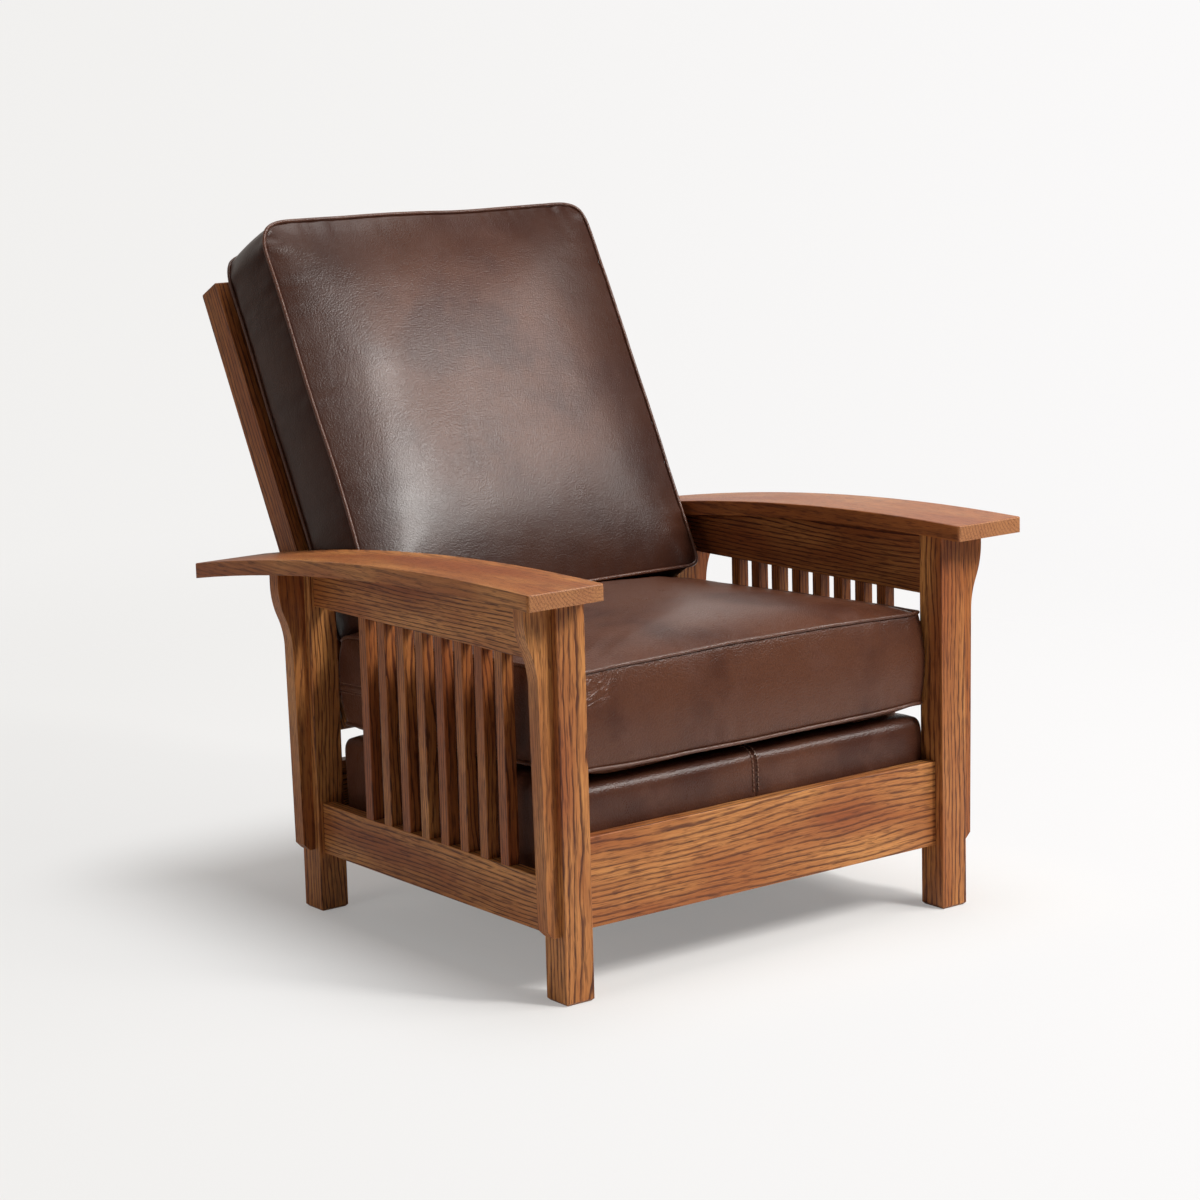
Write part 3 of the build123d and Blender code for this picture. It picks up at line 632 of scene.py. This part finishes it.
def stuff(piece, pinned, slack, pressure, cap):
    """Fill a cover by cloth simulation, with its seams held, and keep the shape that it takes."""
    start = get_points(piece.data)
    held = piece.vertex_groups.new(name="held")
    held.add([int(index) for index in pinned], 1.0, "REPLACE")
    loose = piece.vertex_groups.new(name="slack")
    for index, weight in enumerate(slack):
        if weight > 0.01:
            loose.add([index], float(weight), "REPLACE")
    modifier = piece.modifiers.new("stuffing", "CLOTH")
    for name, value in CLOTH.items():
        setattr(modifier.settings, name, value)
    modifier.settings.uniform_pressure_force = pressure
    modifier.settings.effector_weights.gravity = 0
    modifier.collision_settings.use_collision = False
    modifier.collision_settings.use_self_collision = False
    modifier.point_cache.frame_start, modifier.point_cache.frame_end = 1, STUFFING_FRAMES
    for step in range(1, STUFFING_FRAMES + 1):
        bpy.context.scene.frame_set(step)
    shift = get_points(piece.evaluated_get(bpy.context.evaluated_depsgraph_get()).to_mesh()) - start
    reach = np.linalg.norm(shift, axis=1)[:, None]
    shift *= np.minimum(1, cap / np.maximum(reach, 1e-9))
    piece.modifiers.clear()
    piece.vertex_groups.clear()
    bpy.context.scene.frame_set(1)
    set_points(piece, start + shift)


def wander(points, amount, scale, seed):
    """A small smooth drift at each point. Unseeded, the vector noise would change with the clock."""
    noise.seed_set(NOISE_SEED + seed)
    shift = Vector((seed, 2 * seed, 3 * seed))
    return amount * np.array([tuple(noise.noise_vector(Vector(point) * scale + shift)) for point in points])


def pucker(pad, points, depth, reach, pitch, seed):
    """Short gathers that run off the seams, on the panels and on the boxing."""
    shaped = points.copy()
    x, y = pad.points[:, 0], pad.points[:, 1] - pad.length / 2
    side_gap, end_gap, gap = pad.gaps()
    by_side = side_gap < end_gap
    ahead = np.where(by_side, y, x)
    corner = np.exp(-(np.hypot(side_gap, end_gap) / 0.09))
    fade = np.exp(-gap / reach) * np.clip(gap / 0.004, 0, 1)
    for index in range(len(points)):
        key = 3.0 * by_side[index] + (5.0 if (x if by_side[index] else y)[index] > 0 else 0.0) + seed
        gather_here = noise.noise(Vector((ahead[index] / pitch, key, gap[index] * 6)))
        gather_fine = noise.noise(Vector((ahead[index] / pitch * 2.3, key + 9, gap[index] * 9)))
        push = depth * (0.7 * gather_here + 0.3 * gather_fine) * fade[index] * (0.55 + 1.8 * corner[index])
        if pad.panel[index]:
            shaped[index, 2] += push * pad.panel[index]
        elif by_side[index]:
            shaped[index, 0] += push * np.sign(x[index])
        else:
            shaped[index, 1] += push * np.sign(y[index])
    return shaped


def set_points(piece, points):
    piece.data.vertices.foreach_set("co", np.asarray(points, float).ravel())
    piece.data.update()


def get_points(mesh):
    points = np.empty(len(mesh.vertices) * 3)
    mesh.vertices.foreach_get("co", points)
    return points.reshape(-1, 3)


def apply_modifiers(piece):
    """Keep the mesh that a piece's modifiers make."""
    shaped = piece.evaluated_get(bpy.context.evaluated_depsgraph_get())
    mesh = bpy.data.meshes.new_from_object(shaped)
    piece.modifiers.clear()
    old = piece.data
    piece.data = mesh
    mesh.name = piece.name
    bpy.data.meshes.remove(old)


def subdivide(piece):
    """Apply a subdivision surface to a piece."""
    modifier = piece.modifiers.new("smooth", "SUBSURF")
    modifier.levels = modifier.render_levels = 1
    apply_modifiers(piece)


def seam_path(pad, points, seam, lift):
    """The line of a welt, just outside a seam and lifted off the panel."""
    path = points[seam].copy()
    path[:, :2] += pad.outward(path) * 0.0010
    path[:, 2] += lift
    return sum(np.roll(path, shift, axis=0) for shift in (-2, -1, 0, 1, 2)) / 5


def build_cushion(body, shape, pad, matrix, settle, leather, welt_leather, welt_radius):
    """A stuffed leather cushion with piping along both seams."""
    name, nodes = f"{body}_leather", (f"{body}_cover", f"{body}_core")
    seed, fill = shape["seed"], shape["fill"]
    # Spare leather: most beside the seams, little in mid panel
    slack = np.clip(1 - pad.gaps()[2] / SLACK_REACH, 0.18, 1)
    pad.crown(shape["top"], shape["bottom"], *shape["fullness"])
    pad.swell(shape["swell"])
    cushion = make_piece(name, pad.points, pad.faces, leather, body)
    stuff(cushion, np.concatenate([pad.top_seam, pad.bottom_seam]), slack, pressure=4.0, cap=0.024)
    points = pucker(pad, get_points(cushion.data), 0.0042, 0.026, 0.017, seed)
    points = settle(points + wander(points, 0.0018, 7, seed) + wander(points, shape["wave"], 3.4, seed + 5))
    set_points(cushion, moved(points, matrix))
    subdivide(cushion)
    for which, seam, lift in (("upper", pad.top_seam, 0.0008), ("lower", pad.bottom_seam, -0.0008)):
        path = settle(seam_path(pad, points, seam, lift), welt_radius)
        welt, faces = tube(path, welt_radius, True, UP, 12)
        make_piece(f"{name}_{which}_welt", moved(welt, matrix), faces, welt_leather, body)
    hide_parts(*nodes)
    return cushion


# Sizes of the cushions: half width, length and boxing between the seams, the crowns of the upper and the
# lower panel, the room kept under the lower seam, how full the panels are across and along, and how far
# the boxing swells and the panels wander
SEAT = {
    "half_width": 0.326,
    "length": 0.593,
    "boxing": 0.131,
    "top": 0.037 * 0.90,
    "bottom": 0.024,
    "under": 0.024,
    "fullness": ((2.6, 5.0), (12.0, 14.0)),
    "swell": 0.0090,
    "wave": 0.0015,
    "seed": 3,
    "fill": 0.75,
}
BACK = {
    "half_width": 0.311,
    "length": 0.646,
    "boxing": 0.1156,
    "top": 0.033 * 1.02,
    "bottom": 0.0286 * 0.80,
    "under": 0.0286,
    "fullness": ((2.3, 2.8), (3.2, 3.2)),
    "swell": 0.003,
    "wave": 0.0035,
    "seed": 11,
    "fill": 0.65,
}
CUSHION_STEP = 0.0085
# How far the seat cushion presses into the deck, and how far it reaches to each side
SEAT_PRESS = 0.0016
SEAT_SIDE = 0.3279
DECK = {"half_width": 0.3274, "depth": 0.584, "height": 0.136, "bottom": 0.160, "roll": 0.022}
# The deck's middle seam: how far off its rows of stitching lie and how far down they reach, then the
# pitch, length and radius of the stitches and their lift off the leather
SEAM = {"row": 0.0045, "lowest": 0.065, "pitch": 0.0070, "stitch": 0.0044, "thread": 0.0008, "lift": 0.0009}
# The pad under the deck's leather: its lower and upper face, and how far it stands in from the leather
DECK_PAD = {"low": 0.1105, "high": 0.1335, "gap": 0.0045, "roll": 0.0205}
DECK_CORNER, DECK_STEP = 0.006, 0.008
# Where the back cushion's foot stands above the pivot, half the depth of a stile, and the gap between
# soft pieces
BACK_START = 0.0963
HALF_STILE = 0.0246
SOFT_GAP = 0.0003
DECK_FRONT = Vector((0, -0.4410213, DECK["bottom"]))
DECK_MATRIX = place_matrix(DECK_FRONT, ACROSS, SEAT_REAR, SEAT_UP)
SEAT_LIFT = DECK["height"] + SOFT_GAP + SEAT["under"] - SEAT_PRESS
SEAT_FRONT = DECK_FRONT + SEAT_UP * SEAT_LIFT - SEAT_REAR * 0.012
SEAT_MATRIX = place_matrix(SEAT_FRONT, ACROSS, SEAT_REAR, SEAT_UP)
BACK_LIFT = HALF_STILE + 2 * SOFT_GAP + BACK["under"]
BACK_FOOT = PIVOT + BACK_UP * BACK_START + BACK_FRONT * BACK_LIFT
BACK_MATRIX = place_matrix(BACK_FOOT, ACROSS, BACK_UP, BACK_FRONT)


class ARMCHAIR_OT_oak_boards(bpy.types.Operator):
    """Give every oak board its grain, rings and stain"""

    bl_idname = "armchair.oak_boards"
    bl_label = "Oak boards"

    def execute(self, context):
        settings = context.scene.armchair_oak
        boards = sorted(name for name in NODES if SLOTS[name] == "oak")
        for index, name in enumerate(boards):
            low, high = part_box(name)
            found = (board for start, board in BOARDS.items() if name.startswith(start))
            grain, (pith_side, pith_depth), wide, reach, contrast, stain = next(found, OTHER_BOARD)
            turn = (index * 0.61) % 1 - 0.5
            material = oak_finish(
                f"oak_{name}",
                settings,
                board_axes(name, grain),
                (low + high) / 2,
                (pith_side * (1 + 0.5 * turn), pith_depth * (1 - 0.4 * turn)),
                (index * 7.31) % 23,
                settings.ring_pitch * (0.85 + 0.4 * ((index * 0.37) % 1)) * wide,
                reach,
                contrast,
                (high - low).y / 2 if name.startswith("arm") else 1.0,
                0.10 * turn + stain,
            )
            dress(NODES[name], material)
        return {"FINISHED"}


class ARMCHAIR_OT_hidden_frame(bpy.types.Operator):
    """Finish the deck frame, its cleats, springs, clips, screws and pins"""

    bl_idname = "armchair.hidden_frame"
    bl_label = "Deck frame and metalwork"

    def execute(self, context):
        finishes = {"hidden_hardwood": hardwood_finish(), "steel": steel_finish()}
        for name, node in NODES.items():
            if SLOTS[name] in finishes:
                dress(node, finishes[SLOTS[name]])
        return {"FINISHED"}


def roll_edge(pad, roll):
    """Roll the top edge over."""
    points = pad.points.copy()
    x, y = points[:, 0], points[:, 1] - pad.length / 2
    corner = pad.corner
    over_x, over_y = np.abs(x) - (pad.half_width - corner), np.abs(y) - (pad.length / 2 - corner)
    past_x, past_y = np.maximum(over_x, 0), np.maximum(over_y, 0)
    reach = np.hypot(past_x, past_y) + np.minimum(np.maximum(over_x, over_y), 0)
    outside = np.maximum(reach - corner + roll, 0)
    way = np.stack([np.sign(x) * past_x, np.sign(y) * past_y], axis=1)
    flat = np.linalg.norm(way, axis=1) < 1e-9
    straight = np.stack([np.sign(x) * (over_x > over_y), np.sign(y) * (over_y >= over_x)], axis=1)
    way[flat] = straight[flat]
    way = unit(way)
    above = np.maximum(points[:, 2] - (pad.boxing - roll), 0)
    new_out, new_up = round_corner(outside, above)
    points[:, :2] -= way * (outside - new_out)[:, None]
    points[:, 2] += new_up - above
    return points


def soften(pad, points):
    """Puff the top and the front, and sink the middle seam."""
    soft = points.copy()
    x, z = points[:, 0], points[:, 2]
    front = (points[:, 1] < 0.02) & (pad.panel >= 0)
    half_share = np.abs(np.abs(x) / pad.half_width - 0.5) * 2
    rise = np.clip((z - 0.069) / 0.03, 0, 1) * np.clip((pad.boxing - z) / 0.012, 0, 1)
    soft[:, 1] -= np.where(front, 0.0030 * rise * (1 - half_share**12), 0)
    ripple = wander(points, 0.0011, 11, 4)
    soft[:, 1] += np.where(front, ripple[:, 1] * rise, 0)
    soft[:, 2] += np.where(pad.panel > 0, -np.abs(ripple[:, 2]) * 0.8, 0)
    groove = np.exp(-((x / 0.0017) ** 2))
    ridge = np.exp(-(((np.abs(x) - SEAM["row"]) / 0.0022) ** 2))
    gathers = np.sin(1400 * (points[:, 1] - z)) * np.exp(-((np.abs(x) - 0.008) / 0.008) ** 2)
    sink = 0.0030 * groove - 0.0008 * ridge + 0.0003 * gathers
    top = pad.panel > 0
    near_front = np.clip(1 - points[:, 1] / 0.018, 0, 1)
    soft[:, 2] -= np.where(top, sink * (1 - 0.6 * near_front), 0)
    soft[:, 1] += np.where(front, 0.5 * sink * near_front, 0)
    soft[:, 2] = np.minimum(soft[:, 2], pad.boxing)
    return soft


def stitch_seam(pad, points, thread):
    """Two rows of stitching beside the middle seam."""
    parts = []
    for side in (-1, 1):
        beside = np.abs(pad.points[:, 0] - side * SEAM["row"]) < 0.0006
        line = []
        for loop in pad.loops:
            line += [i for i in loop if points[i, 1] < pad.length / 2 and beside[i]][:1]
        top = sorted(np.nonzero(beside & (pad.panel > 0))[0], key=lambda i: pad.points[i, 1])
        line += [i for i in top if i not in line]
        path = points[line]
        lift = np.gradient(path, axis=0)
        normal = unit(np.stack([np.zeros(len(path)), -lift[:, 2], lift[:, 1]], axis=1))
        path = path + normal * SEAM["lift"]
        places, at = pace(path[path[:, 2] > SEAM["lowest"]], SEAM["pitch"])
        for place in places:
            line = [at(place + share * SEAM["stitch"]) for share in (-0.5, -0.2, 0.2, 0.5)]
            parts.append(tube(line, SEAM["thread"], False, ACROSS, 6))
    stitched, faces = gather(parts)
    make_piece("deck_stitching", moved(stitched, DECK_MATRIX), faces, thread, "chair_frame")


def make_pad():
    """The pad under the leather, backed with jute."""
    low, high, gap = DECK_PAD["low"], DECK_PAD["high"], DECK_PAD["gap"]
    half_width, depth = DECK["half_width"] - gap, DECK["depth"] - 2 * gap
    form = Pad(half_width, depth, high - low, DECK_CORNER, 0.0, DECK_STEP)
    points = roll_edge(form, DECK_PAD["roll"])
    points += (0, gap, low)
    sag = wander(points, 0.0012, 14, 9)
    points[:, 2] += np.where(form.panel < 0, np.abs(sag[:, 2]), 0)
    points = moved(points, DECK_MATRIX)
    padding = make_piece("deck_padding", points, form.faces, webbing_finish(), "chair_frame")
    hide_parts("deck_pad")


class ARMCHAIR_OT_deck(bpy.types.Operator):
    """Draw the leather over the deck, with its middle seam and stitching, on a jute-backed pad"""

    bl_idname = "armchair.deck"
    bl_label = "Sprung deck"

    def execute(self, context):
        settings = context.scene.armchair_leather
        leather = leather_finish("leather_deck", settings, -0.02)
        near_seam = [side * gap for side in (-1, 1) for gap in (0, 0.0012, 0.0026, SEAM["row"], 0.0075)]
        pad = Pad(DECK["half_width"], DECK["depth"], DECK["height"], DECK_CORNER, 0.0, DECK_STEP, near_seam)
        points = soften(pad, roll_edge(pad, DECK["roll"]))
        drop = set(np.nonzero(pad.panel < 0)[0]) - set(pad.bottom_seam)
        keep = [index for index in range(len(points)) if index not in drop]
        number = {old: new for new, old in enumerate(keep)}
        faces = [tuple(number[i] for i in face) for face in pad.faces if not drop.intersection(face)]
        shell = moved(points[keep], DECK_MATRIX)
        cover = make_piece("deck_leather", shell, faces, leather, "chair_frame")
        subdivide(cover)
        thickness = cover.modifiers.new("thickness", "SOLIDIFY")
        thickness.thickness, thickness.offset = 0.0018, -1
        apply_modifiers(cover)
        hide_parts("deck_cover")
        stitch_seam(pad, points, thread_finish(settings))
        make_pad()
        return {"FINISHED"}


def make_zip(pad, seat, thread, leather):
    """The placket of the zip along the rear boxing, round both rear corners, with its stitching."""
    level = pad.loops[len(pad.loops) * 2 // 5]
    outline = [index for index in level if pad.points[index, 1] > pad.length - 0.11]
    middle = (0, pad.length - 0.2)
    outline.sort(key=lambda index: math.atan2(pad.points[index, 0], middle[1] - pad.points[index, 1]))
    path = moved(surface_line(pad, seat, outline), SEAT_MATRIX.inverted())
    away = unit(path[:, :2] - middle)
    path[:, :2] += away * 0.0004
    fold, faces = tube(path, 0.0042, False, UP, 12, 0.32)
    make_piece("seat_zip_placket", moved(fold, SEAT_MATRIX), faces, leather, "seat_cushion")
    rows = []
    for drop in (-0.0072, 0.0072):
        row = path.copy()
        row[:, 2] += drop
        row[:, :2] += away * 0.0003
        rows.append(stitches(row))
    sewn, faces = gather(rows)
    make_piece("seat_zip_stitching", moved(sewn, SEAT_MATRIX), faces, thread, "seat_cushion")


def surface_line(pad, seat, outline):
    """Where a line of the pad lies on the finished cushion."""
    outside = SEAT_MATRIX.to_3x3() @ UP
    places = []
    for index in outline:
        place = SEAT_MATRIX @ Vector(pad.points[index])
        found, spot, _, _ = seat.closest_point_on_mesh(place)
        places.append(tuple(spot if found and abs(outside.dot(spot - place)) < 0.004 else place))
    return np.array(places)


class ARMCHAIR_OT_seat_cushion(bpy.types.Operator):
    """Make the seat cushion, its piping and its zip"""

    bl_idname = "armchair.seat_cushion"
    bl_label = "Seat cushion"

    def execute(self, context):
        settings = context.scene.armchair_leather
        # At the seat's front left corner: creases, with painted highlights along them
        corner = SEAT_MATRIX @ Vector((-0.305, -0.01, 0.155))
        # The seat's hide is painted a little lighter, for the light on its front.
        leather = leather_finish("leather_seat", settings, 0.10, (corner, 0.085))
        # Painted highlight: the welts' hide is painted lighter, as if light caught their tops.
        welt_leather = leather_finish("leather_seat_welt", settings, 0.20, fine=1.6, sheen=0.5)
        half_width, length = SEAT["half_width"] - 0.0012, SEAT["length"] - 0.001
        pad = Pad(half_width, length, SEAT["boxing"], 0.013, 0.002, CUSHION_STEP)
        to_seat = SEAT_MATRIX.inverted()
        plane_point = np.array(to_seat @ (PIVOT + BACK_UP * (BACK_START - SOFT_GAP)))
        plane_normal = np.array(to_seat.to_3x3() @ BACK_UP)
        lowest = -(SEAT["under"] - SEAT_PRESS)

        def settle(points, margin=0.0):
            """Keep the cushion under the back cushion's foot, above the deck and between the posts."""
            above = (points - plane_point) @ plane_normal + margin
            points[:, 2] -= np.maximum(above, 0) / plane_normal[2]
            points[:, 2] = np.maximum(points[:, 2], lowest + margin)
            points[:, 1] = np.minimum(points[:, 1], SEAT["length"] - margin)
            points[:, 0] = np.clip(points[:, 0], -SEAT_SIDE + margin, SEAT_SIDE - margin)
            return points

        seat = build_cushion(
            "seat_cushion", SEAT, pad, SEAT_MATRIX, settle, leather, welt_leather, settings.welt_radius
        )
        make_zip(pad, seat, thread_finish(settings), welt_leather)
        return {"FINISHED"}


class ARMCHAIR_OT_back_cushion(bpy.types.Operator):
    """Make the back cushion and its piping"""

    bl_idname = "armchair.back_cushion"
    bl_label = "Back cushion"

    def execute(self, context):
        settings = context.scene.armchair_leather
        half_width, length = BACK["half_width"], BACK["length"]
        middle = BACK_MATRIX @ Vector((0, length / 2, 0))
        # Painted shade round the back's rim and lower end
        painted_rim_shade = (middle, BACK_UP, half_width, length / 2)
        leather = leather_finish("leather_back", settings, 0.02, painted_rim_shade=painted_rim_shade)
        # Painted highlight: the back's welts are painted lighter, as if light caught them.
        welt_leather = leather_finish("leather_back_welt", settings, 0.10, fine=1.6, sheen=0.4)
        pad = Pad(half_width, length, BACK["boxing"], 0.044, 0.004, CUSHION_STEP, foot=0.024)
        lowest = -(BACK["under"] + SOFT_GAP)

        def settle(points, margin=0.0):
            """Keep the cushion in front of the slats and above its foot."""
            points[:, 2] = np.maximum(points[:, 2], lowest + margin)
            points[:, 1] = np.maximum(points[:, 1], margin)
            return points

        build_cushion(
            "back_cushion", BACK, pad, BACK_MATRIX, settle, leather, welt_leather, settings.welt_radius
        )
        return {"FINISHED"}


def make_floor(settings):
    """A pale floor that fades into the backdrop."""
    count, radii = 96, (0.6, 1.2, 2.0, 3.2, 5.0, 8.0)
    angles = [2 * math.pi * i / count for i in range(count)]
    points = [(0, 0, 0)]
    for radius in radii:
        points += [(radius * math.cos(angle), radius * math.sin(angle), 0) for angle in angles]
    faces = [(0, 1 + i, 1 + (i + 1) % count) for i in range(count)]
    rings = [1 + ring * count + np.arange(count) for ring in range(len(radii))]
    for low, high in zip(rings[:-1], rings[1:]):
        faces += band(high, low)
    floor = new_object("floor", new_mesh("floor", points, faces))
    finish = Finish("pale_floor")
    place = finish.place()
    away = finish.vector("DISTANCE", place, (0.2, 0.3, 0), "Value")
    mottle = finish.noise(place, 3.0)
    base = finish.mix(mottle, settings.floor, share_of(settings.floor, 0.985))
    matte = finish.add("ShaderNodeBsdfDiffuse", {"Color": base, "Roughness": 0.4})
    clear = finish.add("ShaderNodeBsdfTransparent")
    glowing = backdrop_colour(finish, place, settings, 1.3)
    glow = finish.add("ShaderNodeEmission", {"Color": glowing, "Strength": 1.0})
    seen = finish.add("ShaderNodeLightPath", output="Is Camera Ray")
    # Camera rays see the floor partly as a glow in the backdrop's painted colours; the glow's share grows away
    # from the feet, which paints light over the cast shadow there.
    past_x = (finish.along(place, ACROSS).math("ABSOLUTE") - 0.38).math("MAXIMUM", 0.0)
    past_y = (finish.along(place, REAR).math("ABSOLUTE") - 0.44).math("MAXIMUM", 0.0)
    clear_of_feet = (past_x * past_x + past_y * past_y).math("SQRT").between(-0.1, 0.36)
    share = seen * (0.18 + 0.70 * clear_of_feet)
    lifted = finish.add("ShaderNodeMixShader", {0: share, 1: matte, 2: glow})
    faded = finish.add("ShaderNodeMixShader", {0: away.between(1.3, 3.4), 1: lifted, 2: clear})
    finish.surface(faded)
    dress(floor, finish.material)


def backdrop_colour(finish, place, settings, reach):
    """The backdrop's colour, with painted shade: darker on the left and lighter on the right."""
    aside = finish.along(place, BACKDROP_TURN).between(-reach, reach)
    return finish.mix(aside, settings.backdrop_left, settings.backdrop_right)


def make_world(settings):
    """Pale backdrop for the camera, softer light for everything else."""
    world = bpy.data.worlds.new("studio")
    bpy.context.scene.world = world
    world.use_nodes = True
    finish = Finish("studio", world.node_tree)
    place = finish.add("ShaderNodeTexCoord", output="Generated")
    shown = backdrop_colour(finish, place, settings, 0.30)
    height = finish.along(place, UP)
    sky = finish.mix(height.between(-0.1, 0.8), (0.60, 0.575, 0.53), (1.0, 0.985, 0.95))
    rays = ("Is Camera Ray", "Is Transmission Ray")
    seen, through = (finish.add("ShaderNodeLightPath", output=ray) for ray in rays)
    behind = finish.along(place, Vector((0.10, 0.98, 0.14)).normalized()).between(0.55, 0.95)
    strength = settings.ambient * (1 + 4.0 * behind)
    light = finish.add("ShaderNodeBackground", {"Color": sky, "Strength": strength})
    backdrop = finish.add("ShaderNodeBackground", {"Color": shown, "Strength": 1.0})
    both = {0: seen.math("MAXIMUM", through), 1: light, 2: backdrop}
    finish.surface(finish.add("ShaderNodeMixShader", both), "ShaderNodeOutputWorld")


def make_camera(scene):
    """The photograph's viewpoint."""
    turn, height, roll = (math.radians(angle) for angle in VIEW_ANGLES)
    lens = bpy.data.cameras.new("photograph")
    lens.lens, lens.sensor_width = VIEW_LENS, VIEW_SENSOR
    camera = new_object("photograph", lens)
    facing = Matrix.Rotation(turn, 4, "Z") @ Matrix.Rotation(math.pi / 2 - height, 4, "X")
    back_off = Matrix.Rotation(roll, 4, "Z") @ Matrix.Translation((0, 0, VIEW_DISTANCE))
    camera.matrix_world = Matrix.Translation(VIEW_AIM) @ facing @ back_off
    scene.camera = camera


class ARMCHAIR_OT_stage(bpy.types.Operator):
    """Set the floor, the backdrop, the lights and the camera"""

    bl_idname = "armchair.stage"
    bl_label = "Stage"

    def execute(self, context):
        settings = context.scene.armchair_stage
        scene = context.scene
        scene.view_settings.view_transform = "Standard"
        make_floor(settings)
        make_world(settings)
        for name, (spot, aim, size, power, tint) in LAMPS.items():
            lamp = bpy.data.lights.new(name, "AREA")
            lamp.shape = "RECTANGLE"
            lamp.size, lamp.size_y = size
            lamp.energy = power
            lamp.color = tint
            holder = new_object(name, lamp)
            holder.location = spot
            holder.rotation_euler = (Vector(aim) - Vector(spot)).to_track_quat("-Z", "Y").to_euler()
        make_camera(scene)
        return {"FINISHED"}


class ARMCHAIR_PT_panel(bpy.types.Panel):
    """Steps of the armchair"""

    bl_idname = "ARMCHAIR_PT_panel"
    bl_label = "Armchair"
    bl_space_type = "VIEW_3D"
    bl_region_type = "UI"
    bl_category = "Armchair"

    def draw(self, context):
        for name in SETTINGS:
            settings = getattr(context.scene, name)
            for prop in settings.bl_rna.properties:
                if prop.identifier not in ("rna_type", "name"):
                    self.layout.prop(settings, prop.identifier)
        for step in STEPS:
            self.layout.operator(step.bl_idname)


STEPS = (
    ARMCHAIR_OT_oak_boards,
    ARMCHAIR_OT_hidden_frame,
    ARMCHAIR_OT_deck,
    ARMCHAIR_OT_seat_cushion,
    ARMCHAIR_OT_back_cushion,
    ARMCHAIR_OT_stage,
)
SETTINGS = {
    "armchair_oak": OakSettings,
    "armchair_leather": LeatherSettings,
    "armchair_stage": StageSettings,
}
CLASSES = (*SETTINGS.values(), *STEPS, ARMCHAIR_PT_panel)


def register():
    for part in CLASSES:
        bpy.utils.register_class(part)
    for name, settings in SETTINGS.items():
        setattr(bpy.types.Scene, name, bpy.props.PointerProperty(type=settings))


def unregister():
    for name in SETTINGS:
        delattr(bpy.types.Scene, name)
    for part in reversed(CLASSES):
        bpy.utils.unregister_class(part)


def main():
    register()
    for step in STEPS:
        group, name = step.bl_idname.split(".")
        getattr(getattr(bpy.ops, group), name)()


if __name__ == "__main__":
    main()
